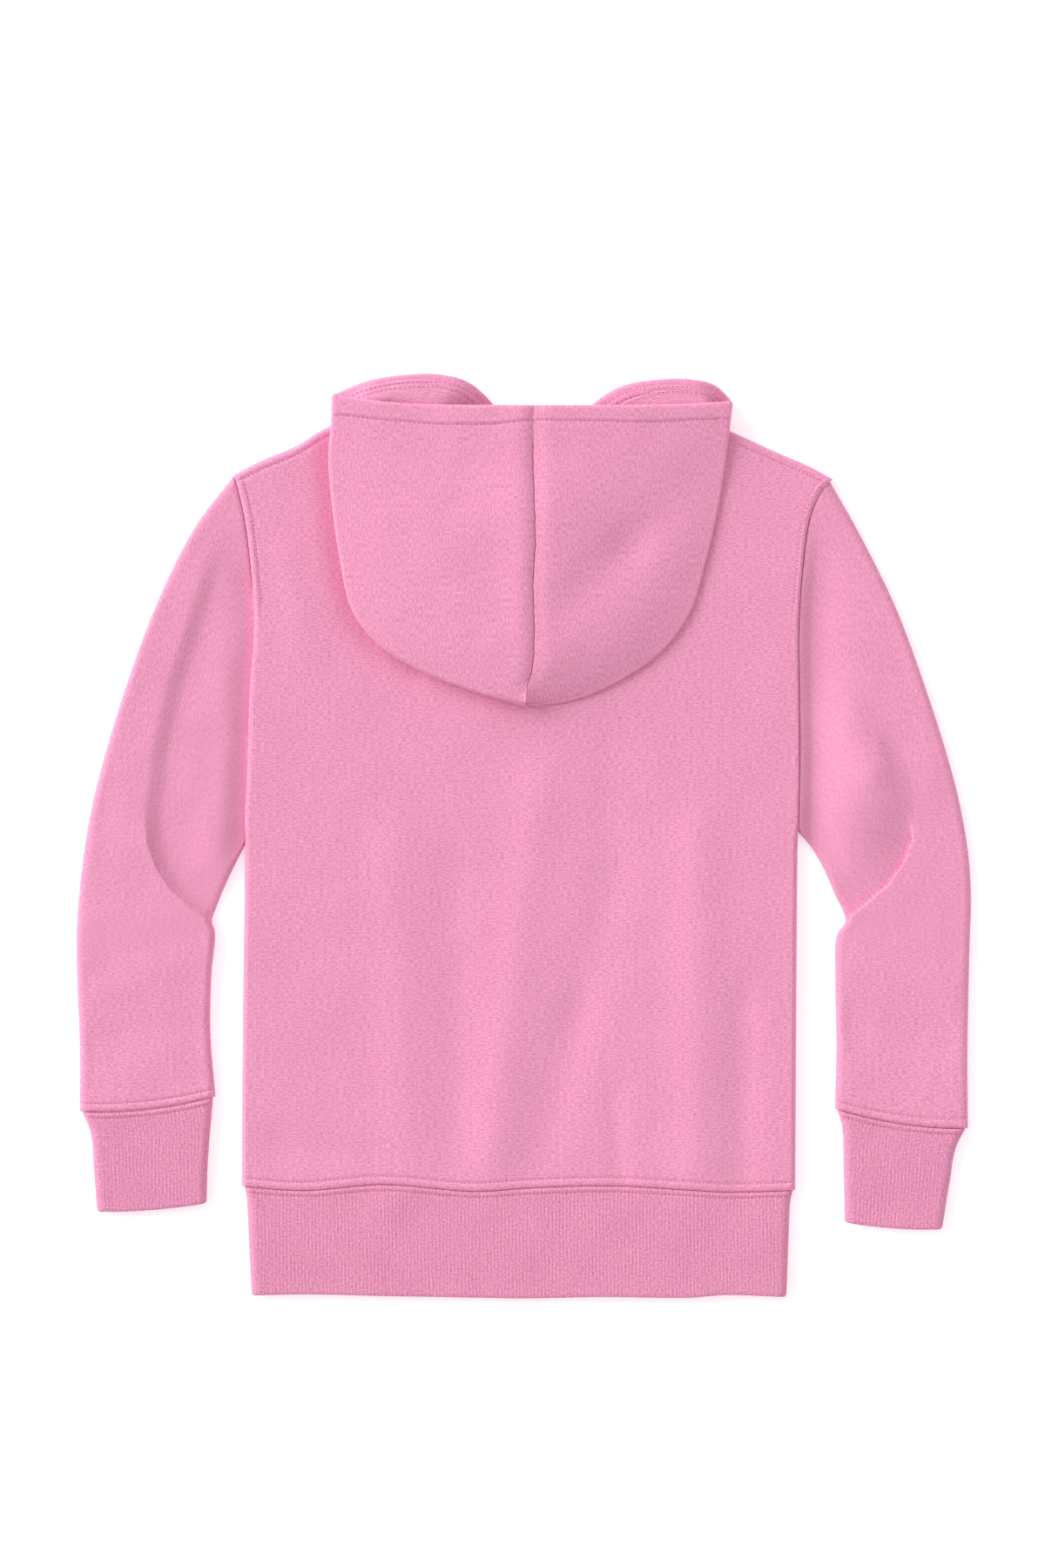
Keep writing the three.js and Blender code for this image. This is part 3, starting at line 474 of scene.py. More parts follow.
# place across, the waist seam, the hem
waistLine = [
    (-144, -178.1, -233.9), (-111, -180.3, -233.2), (-72, -177.2, -234), (-26, -180.7, -234.8),
    (0, -179.2, -235.2), (42, -177.9, -234.5), (83, -179.9, -234.9), (104, -181.2, -233.5),
    (138.4, -180.2, -234.8),
]
bodyFolds = [
    (-66, -10, -60, -150, 0.8, 16), (-36, -20, -34, -150, -0.9, 15), (8, 20, -16, -160, 1.2, 16),
    (46, 50, 44, -25, -0.7, 18), (44, -25, 26, -93, -0.9, 17), (26, -93, 8, -160, -1, 15),
    (46, -140, 48, -168, -0.8, 8), (90, -5, 88, -165, 1.4, 17), (112, -90, 111, -168, -1.1, 11),
    (-130, -156, -84, -162, -0.9, 12), (-96, 150, -70, 70, -0.5, 22), (-122, 140, -112, 104, 0.5, 12),
]
leftUnderarm, rightUnderarm = -4.4, 2.2
dipFades = (118, 168)  # the heights between which the sleeves' dip beside the body fades out
pressLine = [row[:2] for row in hoodOutline[1:8]]
bodyBottom, bodyHigh = bodySections[0][0], bodySections[-1][0]
bodyHeight, bodyWidth = bodyHigh - bodyBottom, bodySections[0][2] - bodySections[0][1]


def waistSeam(x):
    return valueAt(waistLine, 1, x)


def bodyPlan(across, up, topColumn):
    y = lerp(bodyBottom, bodyHigh, up)
    x = lerp(valueAt(bodySections, 1, y), valueAt(bodySections, 2, y), across)
    return x, lerp(waistSeam(x), valueAt(topLine, topColumn, x), up)


def bodyEdge(column, y):
    # the back's side edge at a height in plan
    level = y
    for _ in range(4):
        x, planY = bodyPlan(column - 1, (level - bodyBottom) / bodyHeight, 1)
        level += y - planY
    return x


def sideFolded(y, underarm):
    return 1 - smooth(y, underarm - body["armholeBlend"], underarm)


def shoulderFolded(x):
    left = 1 - smooth(x, body["neckLeft"], body["neckLeft"] + body["neckBlend"])
    return left + smooth(x, body["neckRight"] - body["neckBlend"], body["neckRight"])


def gridPatches(rows, columns, places, insideFinish, isRing=False):
    # places[i][j] has one column more than the knots on a ring, which closes on its first one
    patches = []
    for i in range(rows - 1):
        for j in range(columns if isRing else columns - 1):
            k = (j + 1) % columns
            ring = [i * columns + j, i * columns + k, (i + 1) * columns + k, (i + 1) * columns + j]
            uv = [places[i][j], places[i][j + 1], places[i + 1][j + 1], places[i + 1][j]]
            patches.append((ring, uv, insideFinish))
    return patches


nearSeam = [0, 0.2, 0.5, 0.9, 1.4, 2, 2.6, 3.1, 3.5, 3.8, 4.1, 4.4, 4.8, 5.3, 6, 7, 8.5, 10.5]
nearFold = [0, 0.12, 0.45, 0.95, 1.6, 2.3, 2.9, 3.4, 3.8, 4.3, 5, 6, 7.5, 10]
nearShoulder = [0, 0.12, 0.45, 0.95, 1.7, 2.6, 3.5, 4.2, 4.6, 4.9, 5.2, 5.7, 6.5, 8, 10]


def backPanel():
    upShares = spacing(bodyHeight, nearSeam, nearShoulder, body["meshStep"][1])
    ups = [lerp(body["waistGap"] / bodyHeight, 1, share) for share in upShares]
    acrosses = spacing(bodyWidth, nearFold, nearFold, body["meshStep"][0])
    wall, roll = cloth["fleeceWall"], body["roll"]
    knots, places = [], []
    for up in ups:
        row = []
        y = lerp(bodyBottom, bodyHigh, up)
        leftTurn, rightTurn = sideFolded(y, leftUnderarm), sideFolded(y, rightUnderarm)
        fromTop, fromBottom = (1 - up) * bodyHeight, up * bodyHeight - body["waistGap"]
        for across in acrosses:
            x, planY = bodyPlan(across, up, 1)
            topTurn = shoulderFolded(x)
            fromLeft, fromRight = across * bodyWidth, (1 - across) * bodyWidth
            turned = min(
                lerp(1, roundOff(fromLeft, roll), leftTurn),
                lerp(1, roundOff(fromRight, roll), rightTurn),
                lerp(1, roundOff(fromTop, roll), topTurn),
            )
            fade = clamp(min(fromLeft, fromRight) / body["edgeFade"])
            plain = body["top"] + softFolds(bodyFolds, x, planY) * fade
            top = plain
            for size, height in body["slack"]:
                top += slack(x, planY, size, height) * fade
            if planY > 60:
                top -= body["pressed"] * bell(offLine(pressLine, x, planY)[0], body["pressReach"])
            puff, groove, down = body["seamPuff"], body["waistGroove"], body["waistDown"]
            top += besideSeam(fromBottom, body["waistStitch"], puff, groove, down)
            # the armholes' stitches show at their upper part only
            sewn = smooth(planY, body["stitchEnd"] - 14, body["stitchEnd"] + 6)
            puff, groove = puff * sewn, body["armholeGroove"] * sewn
            down = body["turnDown"] + body["lapDown"] * (1 - smooth(planY, *dipFades))
            top += (1 - leftTurn) * besideSeam(fromLeft, body["leftArmholeStitch"], puff, groove, down)
            down = body["turnDown"]
            top += (1 - rightTurn) * besideSeam(fromRight, body["rightArmholeStitch"], puff, groove, down)
            groove, reach = body["shoulderGroove"]
            middle, hidden, shown = body["shoulderSeam"]
            shoulder = bell(fromTop - body["shoulderStitch"], reach) * smooth(abs(x - middle), hidden, shown)
            top -= groove * shoulder * topTurn
            share = [1 - clamp(d / roll) for d in (fromLeft, fromRight, fromTop)]
            stepAcross = (leftTurn * share[0] - rightTurn * share[1]) * wall / bodyWidth
            stepTop = topTurn * wall * share[2] / bodyHeight
            gap = ((1 - leftTurn) * share[0] - (1 - rightTurn) * share[1]) * cloth["seamGap"] / bodyWidth
            outer = bodyPlan(across + gap, up, 1)
            inner = bodyPlan(across + gap + stepAcross, up - stepTop, 1)
            lapping = smooth(planY, *body["lapStarts"]) * (1 - smooth(planY, *body["lapEnds"]))
            lap = body["lap"] * (1 - leftTurn) * (1 - clamp(fromLeft / 3)) * lapping
            innerTop = min(plain - wall, top - body["thinnest"])
            knots.append((
                (outer[0] - lap, outer[1], top * turned), (inner[0] - lap, inner[1], innerTop * turned),
            ))
            sideways = (share[1] * rightTurn - share[0] * leftTurn) * (1 - turned) * body["top"]
            row.append((x + sideways, planY + (1 - turned) * share[2] * topTurn * body["top"]))
        places.append(row)
    return knots, gridPatches(len(ups), len(acrosses), places, 1)


knots, patches = backPanel()
back = sewPiece("back_panel", knots, patches, [jerseyFace, brushedBack], {
    "node": "back", "slot": "fleece", "cut": (0.306, 0.392), "area": 0.113, "held": "laid",
    "restsOn": ["front"],
})


def frontPanel():
    ups = spacing(bodyHeight, [body["waistGap"], 1.5, 3, 5, 8], [0, 1.5, 3, 5, 8], 4)
    columns = 70
    knots, places = [], []
    for rawUp in ups:
        y = lerp(bodyBottom, bodyHigh, rawUp)
        blend = body["armholeBlend"] / 2
        left = lerp(cloth["seamGap"], body["frontInset"], sideFolded(y, leftUnderarm + blend))
        right = lerp(cloth["seamGap"], body["frontInset"], sideFolded(y, rightUnderarm + blend))
        row = []
        for j in range(columns):
            across = lerp(left / bodyWidth, 1 - right / bodyWidth, j / (columns - 1))
            x = bodyPlan(across, rawUp, 2)[0]
            folded = max(shoulderFolded(x - body["neckBlend"]), shoulderFolded(x + body["neckBlend"]))
            inset = lerp(cloth["seamGap"], body["frontInset"] + cloth["seamGap"], folded)
            up = min(rawUp, 1 - inset / bodyHeight)
            plan = bodyPlan(across, up, 2)
            knots.append(((*plan, 0), (*plan, cloth["fleeceWall"])))
            row.append(plan)
        places.append(row)
    return knots, gridPatches(len(ups), columns, places, 1)


knots, patches = frontPanel()
sewPiece("front_panel", knots, patches, [jerseyFace, brushedBack], {
    "node": "front", "slot": "fleece", "cut": (0.306, 0.385), "area": 0.108, "held": "laid",
    "restsOn": ["studioFloor"],
})

# Sleeves, cuffs and waistband are flat tubes

tubeAngles = [75, 60, 45, 30, 15, 0, -15, -30, -45, -60, -75]
tubeRoom = 0.15  # the least gap between a tube's two layers
thinnest = 0.8  # how thin its upper layer may be where it lies lowest


def noShift(x, y):
    return x, y


def noRelief(along, across):
    return 0


def noClosing(along):
    return 1


def flatTube(shape):
    # plan(along, across) is a place in plan, top(along, across, x, y) the outer face's height
    wall, roll = shape["wall"], shape["roll"]
    lowest = wall + tubeRoom + thinnest
    knots, places = [], []
    size = 0
    for along in shape["alongs"]:
        width = shape["width"](along)
        reach = roll / width
        closing = shape["closing"](along)
        ring = []
        for across in shape["acrosses"]:
            share = lerp(reach, 1 - reach, across)
            x, y = shape["plan"](along, share)
            top = max(shape["top"](along, share, x, y), lowest)
            relief = shape["relief"](along, (across - 0.5) * (width - 2 * roll))
            inner = (x, y, max(top - wall, wall + tubeRoom))
            ring.append(closeEdge((*shape["shift"](x, y), top + relief), inner, closing))

        def turnOver(far, angle):
            turn = math.radians(angle)
            edge = shape["plan"](along, 1 if far else 0)
            half = max(shape["top"](along, 1 - reach if far else reach, *edge), lowest) / 2
            arc = width / 2 - roll + roll * (math.pi / 2 - turn)
            relief = shape["relief"](along, arc if far else -arc)
            outerShare = reach * (1 - math.cos(turn)) - relief * math.cos(turn) / width
            innerShare = reach - reach * (roll - wall) / roll * math.cos(turn)
            outer = shape["plan"](along, 1 - outerShare if far else outerShare)
            inner = shape["plan"](along, 1 - innerShare if far else innerShare)
            ring.append(closeEdge(
                (*outer, half + half * math.sin(turn) + relief * math.sin(turn)),
                (*inner, half + max(half - wall, 0.05) * math.sin(turn)),
                closing,
            ))

        for angle in tubeAngles:
            turnOver(True, angle)
        for j in range(shape["under"] + 1):
            plan = shape["plan"](along, lerp(1 - reach, reach, j / shape["under"]))
            ring.append(closeEdge((*plan, 0), (*plan, wall), closing))
        for angle in reversed(tubeAngles):
            turnOver(False, angle)
        size = len(ring)
        knots += ring
        run = [0]
        for a, b in zip(ring, ring[1:] + ring[:1]):
            run.append(run[-1] + (Vector(a[0]) - Vector(b[0])).length)
        length = shape["length"] * along
        places.append([(r, length) for r in run])
    return knots, gridPatches(len(shape["alongs"]), size, places, shape["inside"], True)


sleeve = {
    "top": 6.4,
    "roll": 3.6,
    "length": 340,
    "run": 385,  # the outer edge's length at the rate it has near the cuff
    "lipReach": 30,
    "softFace": 10,  # width of the fold's face where it turns soft
    "draw": 3.2,  # how far from the elbow's line the mesh is drawn together towards it
    "dip": 3.2,  # the sleeve's dip beside the body
    "turnDown": (1.4, 0.4),  # into the armhole's seam, above the dip and beside it
    "dipStarts": (-30, 0),
    "cuffStitch": 4.2,
    "cuffSeam": (0.3, 0.7, 0.9),  # the swell, groove and turning down beside the cuff's seam
    "cuffSag": -2.6,
    "slack": ((30, 0.6), (11, 0.14)),
    "edgeFade": 9,
    "width": 80,  # by which a share across becomes a rough distance
}
# outer edge x and y, inner edge x and y, from the armhole to the cuff
leftSleeve = [
    (-147.9, 183.8, -142.1, -4.4), (-167.7, 157.3, -144.4, -9), (-186.7, 119.2, -146.6, -13.5),
    (-202.7, 76.2, -149, -18.5), (-213.2, 42, -151.6, -24), (-220.4, 13.3, -154.2, -30),
    (-225, -15.5, -156.8, -36.6), (-227.4, -41.6, -158.8, -43), (-227.9, -55, -157.2, -49),
    (-227.4, -75, -159, -70), (-226.2, -105, -159.6, -100), (-226.2, -140, -157, -132.4),
]
rightSleeve = [
    (158.1, 180.4, 140, 2.2), (173, 152, 141.6, 0.4), (190.3, 115.2, 143.4, -1.8),
    (206.2, 70.9, 146, -5), (215.1, 43, 149.6, -10.6), (221.5, 19, 153.6, -18.3),
    (226.4, -9, 158.2, -29), (227.8, -32, 163.8, -43), (227.2, -52, 159.4, -50.5),
    (226.6, -76, 158.6, -73.5), (226, -108, 159.2, -106), (226.2, -148.6, 158.4, -138.6),
]
# the fold at the elbow, from the inner edge round and up the arm, where it turns into a soft step
leftElbow = [
    (-155, -47.5), (-169, -36.8), (-178.8, -28.6), (-186.7, -17.3), (-191.6, -4), (-193.5, 14),
    (-190.5, 42), (-183, 77), (-168, 124), (-156, 166),
]
rightElbow = [
    (159, -47.5), (174, -35), (185.4, -25.3), (193.4, -14.2), (198.2, -2), (198.6, 14), (197, 30),
    (192, 46),
]
# The fold is crisp as far as one share of that line and soft from another on, with less strength,
# and it fades to the line's end. The lip stands over the line and the face goes down from it to
# the cloth under it. The dip beside the body has its middle at dipAt.
leftElbowShape = {
    "crisp": 0.42, "soft": 0.6, "upper": 0.6, "fadeFrom": 0.86, "lip": 1.6, "under": 2.9, "face": 7,
    "underReach": 32, "dipAt": 0, "dipNear": 10, "dipFar": 10,
}
rightElbowShape = {
    "crisp": 0.55, "soft": 0.8, "upper": 0.3, "fadeFrom": 0.35, "lip": 0.2, "under": 2.8, "face": 0.35,
    "underReach": 46, "dipAt": 7, "dipNear": 4.5, "dipFar": 13,
}
# The right upper arm's cloth is pushed up: from the elbow's line a flat slope goes up to a ridge
# through two places in plan, and behind it the cloth comes down slowly, up the arm and outwards.
rightRise = {
    "from": (155.7, 14.6), "to": (186, 38),
    "height": 7, "round": 5, "least": 12, "reach": 120,
    "starts": (-30, 10), "ends": (26, 50),  # along the ridge, from its first place
    "ramp": 44,  # how far from the body it has its whole height
    "edgeFade": 14,
}
leftSleeveFolds = [
    (-160, 46, -166, 8, -0.9, 12), (-150, 60, -152, 4, 0.5, 8), (-212, -78, -176, -66, 0.6, 12),
    (-214, -104, -170, -96, -0.5, 12),
]
rightSleeveFolds = [
    (206, 74, 208, 26, 0.6, 12), (178, -66, 214, -80, 0.6, 12), (172, -98, 212, -106, -0.5, 12),
]


def riseHeight(x, y):
    inside = offLine(rightElbow, x, y)[0]
    if inside <= 0:
        return 0
    (x0, y0), (x1, y1) = rightRise["from"], rightRise["to"]
    length = math.hypot(x1 - x0, y1 - y0)
    below = ((x - x0) * (y1 - y0) - (y - y0) * (x1 - x0)) / length
    along = ((x - x0) * (x1 - x0) + (y - y0) * (y1 - y0)) / length
    slope = (below + math.hypot(below, rightRise["round"])) / 2
    share = min(inside / (inside + slope), inside / rightRise["least"])
    behind = 1 - smooth(-below, 0, rightRise["reach"])
    first, last = rightRise["ends"]
    ends = smooth(along, *rightRise["starts"]) * (1 - smooth(along, first * behind, last))
    return rightRise["height"] * share * behind * ends


def sleeveTube(side, rows, elbow, fold, folds):
    outward = -1 if side == "left" else 1
    edgeColumn = 1 if side == "left" else 2
    outerPoints = [Vector(row[:2]) for row in rows]
    innerPoints = [Vector(row[2:]) for row in rows]
    alongs = spacing(sleeve["run"], [0, 0.3, 0.8, 1.5, 2.5, 4, 6], nearSeam, 2.3)
    outerLine = {a: smoothLine(outerPoints, a) for a in alongs}
    innerLine = {a: smoothLine(innerPoints, a) for a in alongs}
    first, last = outerPoints[0], innerPoints[0]

    def plan(along, across):
        straight = outerLine[along].lerp(innerLine[along], across)
        y = lerp(first.y, last.y, across)
        onLine = lerp(first.x, last.x, across)
        armhole = bodyEdge(edgeColumn, y) + outward * body["armholeGap"] - onLine
        fade = max(0, 1 - along / 0.3) ** 2
        sag = sleeve["cuffSag"] * 4 * across * (1 - across) * smooth(along, 0.6, 1)
        return straight.x + armhole * fade, straight.y + sag

    def top(along, across, x, y):
        # the forearm laps over the upper arm along the elbow's line
        aside, share, _ = offLine(elbow, x, y)
        forearm = -aside * outward
        softness = smooth(share, fold["crisp"], fold["soft"])
        strength = lerp(1, fold["upper"], softness) * (1 - smooth(share, fold["fadeFrom"], 1))
        if forearm > 0:
            lap = fold["lip"] * bell(forearm, sleeve["lipReach"])
        else:
            face = lerp(fold["face"], sleeve["softFace"], softness)
            down = clamp(-forearm / face)
            down = lerp(1 - (1 - down) ** 2, smooth(down, 0, 1), softness)
            lap = lerp(fold["lip"], -fold["under"], down)
            lap *= 1 - smooth(-forearm, face, fold["underReach"])
        height = sleeve["top"] + strength * lap
        inward = min(across, 1 - across) * sleeve["width"]
        if side == "right":
            fromBody = x - bodyEdge(edgeColumn, max(y, rightUnderarm))
            ramp = (clamp(fromBody / rightRise["ramp"]) + smooth(fromBody, 0, rightRise["ramp"])) / 2
            height += riseHeight(x, y) * clamp(inward / rightRise["edgeFade"]) * ramp
        soft = softFolds(folds, x, y) + sum(slack(x, y, *wave) for wave in sleeve["slack"])
        height += soft * clamp(inward / sleeve["edgeFade"])
        # beside the body it dips under the body's edge
        if y > sleeve["dipStarts"][0]:
            away = outward * (x - bodyEdge(edgeColumn, y)) - body["armholeGap"]
            low = (1 - smooth(y, *dipFades)) * smooth(y, *sleeve["dipStarts"])
            fromDip = away - fold["dipAt"]
            dipReach = fold["dipNear"] if fromDip < 0 else fold["dipFar"]
            height -= sleeve["dip"] * low * bell(fromDip, dipReach)
            height -= lerp(*sleeve["turnDown"], low) * (1 - roundOff(away, 2))
        toCuff = (1 - along) * sleeve["run"]
        return height + besideSeam(toCuff, sleeve["cuffStitch"], *sleeve["cuffSeam"])

    def shift(x, y):
        # draws the mesh together at the elbow's line, so that the fold is crisp
        aside, share, way = offLine(elbow, x, y)
        if abs(aside) >= sleeve["draw"] or share <= 0 or share >= 1:
            return x, y
        moved = aside * abs(aside) / sleeve["draw"] - aside
        moved *= 1 - smooth(share, fold["crisp"], fold["soft"])
        return x + way.x * moved, y + way.y * moved

    def width(along):
        return (outerLine[along] - innerLine[along]).length

    # the crisp fold needs the height at the moved place
    def topMoved(along, across, x, y):
        return top(along, across, *shift(x, y))

    return flatTube({
        "alongs": alongs, "acrosses": [j / 78 for j in range(79)], "under": 22, "plan": plan,
        "top": topMoved, "shift": shift, "width": width, "relief": noRelief, "closing": noClosing,
        "wall": cloth["fleeceWall"], "roll": sleeve["roll"], "length": sleeve["length"], "inside": 1,
    })


sleeves = []
for side, rows, elbow, fold, folds in (
    ("left", leftSleeve, leftElbow, leftElbowShape, leftSleeveFolds),
    ("right", rightSleeve, rightElbow, rightElbowShape, rightSleeveFolds),
):
    knots, patches = sleeveTube(side, rows, elbow, fold, folds)
    sleeves.append(sewPiece("sleeve_tube_" + side, knots, patches, [jerseyFace, brushedBack], {
        "node": "sleeve_" + side, "slot": "fleece", "cut": (0.175, 0.345), "area": 0.042, "held": "laid",
        "restsOn": ["studioFloor"],
    }))

rib = {
    "top": 6.8,
    "roll": 4,
    "pitch": 1.85,
    "relief": 0.15,  # from the valley to the crest
    "knotsPerRib": 6,
    "stitch": 2.9,  # the lower stitch row's distance from the seam
    "seam": (0.3, 0.5, 0.8),  # its swell, groove and turning down
    "cuffLength": 53,
    "bandLength": 55.5,
    "cuffSlack": (16, 0.5),
    "bandSlack": (22, 0.6),
    "endDrop": 0.5,  # how much lower the free end is
}
# outer edge x and y, inner edge x and y, from the sleeve's seam to the open end
leftCuff = [
    (-224.8, -140.3, -158.2, -132.8), (-220.6, -151, -159.2, -144.4), (-218.9, -170, -160.9, -166),
    (-217.3, -191, -161.5, -186.7),
]
rightCuff = [
    (224.8, -148.8, 159.6, -139), (220, -158.6, 162, -147), (216.9, -176, 162.9, -172),
    (213, -200, 163.4, -196.4),
]
# share from the seam to the hem, left edge, right edge
bandSides = [(0, -142, 137), (0.12, -141, 135.6), (0.55, -139.9, 134.7), (1, -138.6, 133.7)]
nearHem = [0, 0.12, 0.4, 0.85, 1.5, 2.2, 3.2, 5]
nearBandSeam = [0, 0.2, 0.5, 0.9, 1.4, 1.9, 2.3, 2.6, 2.9, 3.2, 3.6, 4.2, 5.2, 7]


def ribRelief(along, across):
    wander = 0.25 * noise.noise(Vector((across / 9, along * 5, 7)))
    deep = 0.8 + 0.5 * noise.noise(Vector((across / 14, along * 3, 2)))
    return rib["relief"] / 2 * deep * math.cos(2 * math.pi * (across / rib["pitch"] + wander))


def ribEnd(length):
    return lambda along: roundOff((1 - along) * length, 1.5)


def ribTube(length, step, under, plan, top, width):
    ribs = round((width(0.5) - 2 * rib["roll"]) / rib["pitch"])
    count = rib["knotsPerRib"] * ribs
    return flatTube({
        "alongs": spacing(length, nearBandSeam, nearHem, step),
        "acrosses": [j / count for j in range(count + 1)], "under": under, "plan": plan, "top": top,
        "shift": noShift, "width": width, "relief": ribRelief, "closing": ribEnd(length),
        "wall": cloth["ribWall"], "roll": rib["roll"], "length": length, "inside": 0,
    })


def cuffTube(rows):
    length = rib["cuffLength"]
    outerLine = evenLine([Vector(row[:2]) for row in rows])
    innerLine = evenLine([Vector(row[2:]) for row in rows])

    def plan(along, across):
        straight = outerLine(along).lerp(innerLine(along), across)
        sag = sleeve["cuffSag"] * 4 * across * (1 - across) * (1 - 0.5 * along)
        return straight.x, straight.y + sag - cloth["seamGap"]

    def top(along, across, x, y):
        height = rib["top"] + slack(x, y, *rib["cuffSlack"]) * (1 - abs(2 * across - 1))
        height -= rib["endDrop"] * smooth(along, 0.5, 1)
        return height + besideSeam(along * length, rib["stitch"], *rib["seam"])

    def width(along):
        return (outerLine(along) - innerLine(along)).length

    return ribTube(length, 2.6, 16, plan, top, width)


cuffs = []
for side, rows in (("left", leftCuff), ("right", rightCuff)):
    knots, patches = cuffTube(rows)
    cuffs.append(sewPiece("cuff_tube_" + side, knots, patches, [ribKnit], {
        "node": "cuff_" + side, "slot": "rib", "cut": (0.126, 0.053), "area": 0.0063, "held": "laid",
        "restsOn": ["studioFloor"],
    }))


def waistbandTube():
    length = rib["bandLength"]

    def edge(column, along):
        return valueAt(bandSides, column, along)

    def plan(along, across):
        x = lerp(edge(1, along), edge(2, along), across)
        return x, lerp(waistSeam(x) - cloth["seamGap"] / 2, valueAt(waistLine, 2, x), along)

    def top(along, across, x, y):
        height = rib["top"] + softFolds(bodyFolds, x, y) * (1 - along) * 0.5
        height += slack(x, y, *rib["bandSlack"]) * clamp(min(across, 1 - across) * 30)
        height -= rib["endDrop"] * smooth(along, 0.6, 1)
        return height + besideSeam(along * length, rib["stitch"], *rib["seam"])

    def width(along):
        return edge(2, along) - edge(1, along)

    return ribTube(length, 3.2, 70, plan, top, width)


knots, patches = waistbandTube()
waistband = sewPiece("waistband_tube", knots, patches, [ribKnit], {
    "node": "waistband", "slot": "rib", "cut": (0.56, 0.0555), "area": 0.031, "held": "laid",
    "restsOn": ["studioFloor"],
})

# Hood

hood = {
    "crown": 21,  # outer face of the upper layer at the middle
    "leftShoulder": 16,  # the same face where it turns down at each side
    "rightShoulder": 9.5,
    "mouthRise": 3.5,  # how much higher the right shoulder is at the mouth
    "mouthDrop": 2.5,  # how much lower the middle is at the mouth, and at the tip
    "tipDrop": 3.5,
    "roll": 1.4,
    "edgeFall": 1,  # how far the upper layer falls over its last stretch to the fold
    "hem": 9.3,
    "hemStep": 1.3,  # over which the turned hem's wall becomes a single one
    "hemZone": 16,  # the mouth's stretch that the hem and its stitches shape
    "hemSwell": 0.5,
    "hemGroove": (0.5, 0.75),  # depth and reach, as for the rest with two values
    "innerGroove": (0.4, 0.6),  # along each stitch row on the hem's inside
    "hemEndStep": (0.9, 1.2),  # where the turned cloth ends
    "seamDip": (1.4, 5),
    "seamProud": (0.8, 9),
    "seamEdgeLeft": (1.5, 4.2),  # how each half turns down into the centre seam
    "seamEdgeRight": (1.2, 1.3),
    "wobble": ((0.35, 5, 3), (0.25, 2.2, 8)),  # the centre seam's waves: height, length and seed
    "overShoulder": 5.6,  # how high the lower layer passes over the body's shoulders
    "mouthY": 218.8,
    "throatX": 6,
    "neckShare": 0.385,  # how far along the mouth's lower edge the neck seam starts
    "neckReach": 55,  # behind the shoulder, how far the lower layer still follows the neck seam
    "runAtRoll": 1.4,  # the weave's run round the fold, by its half circle
    "slack": ((34, 0.7), (13, 0.2)),
    "leftLobe": 10.5,  # how far the mouth's lower layer stands up off the surface inside its edge
    "rightLobe": 8.5,
    "hemRows": (4.2, 6.8),  # the two rows seen on the hem's inside, from its edge
}
# the centre seam's height and place across
hoodSeam = [
    (218.8, 4.7), (190, 4.6), (150, 5.7), (127, 4.6), (107, 5.2), (86, 4.4), (76, 1.8), (65.8, 0.9),
]
# the mouth's lower edge, from the corners round to the throat: left x and y, right x and y
lowerRim = [
    (-97.7, 224.6, 106.5, 221.1), (-81.3, 231.1, 97.5, 229.5), (-58.7, 234.8, 83, 232.6),
    (-41.4, 234.7, 63.6, 231.8), (-27.5, 230.6, 49.4, 228.8), (-15.3, 219.5, 34.8, 219.8),
    (-7, 205, 23, 206), (1.6, 192, 12.6, 193), (5.8, 185, 6.2, 185),
]
hoodFolds = [
    (92, 182, 52, 146, -1.5, 18), (52, 146, 20, 116, -1.4, 16), (62, 118, 34, 92, 0.5, 20),
    (-20, 200, -34, 170, -0.5, 16),
]
hemStitchLeft = [(-92.8, 213.8), (-70.2, 211.3), (-42.7, 209.1), (-16.6, 209.1), (3.3, 211.3)]
hemStitchRight = [(7.8, 211.3), (36.5, 210.9), (67.1, 210.4), (99, 212.2)]


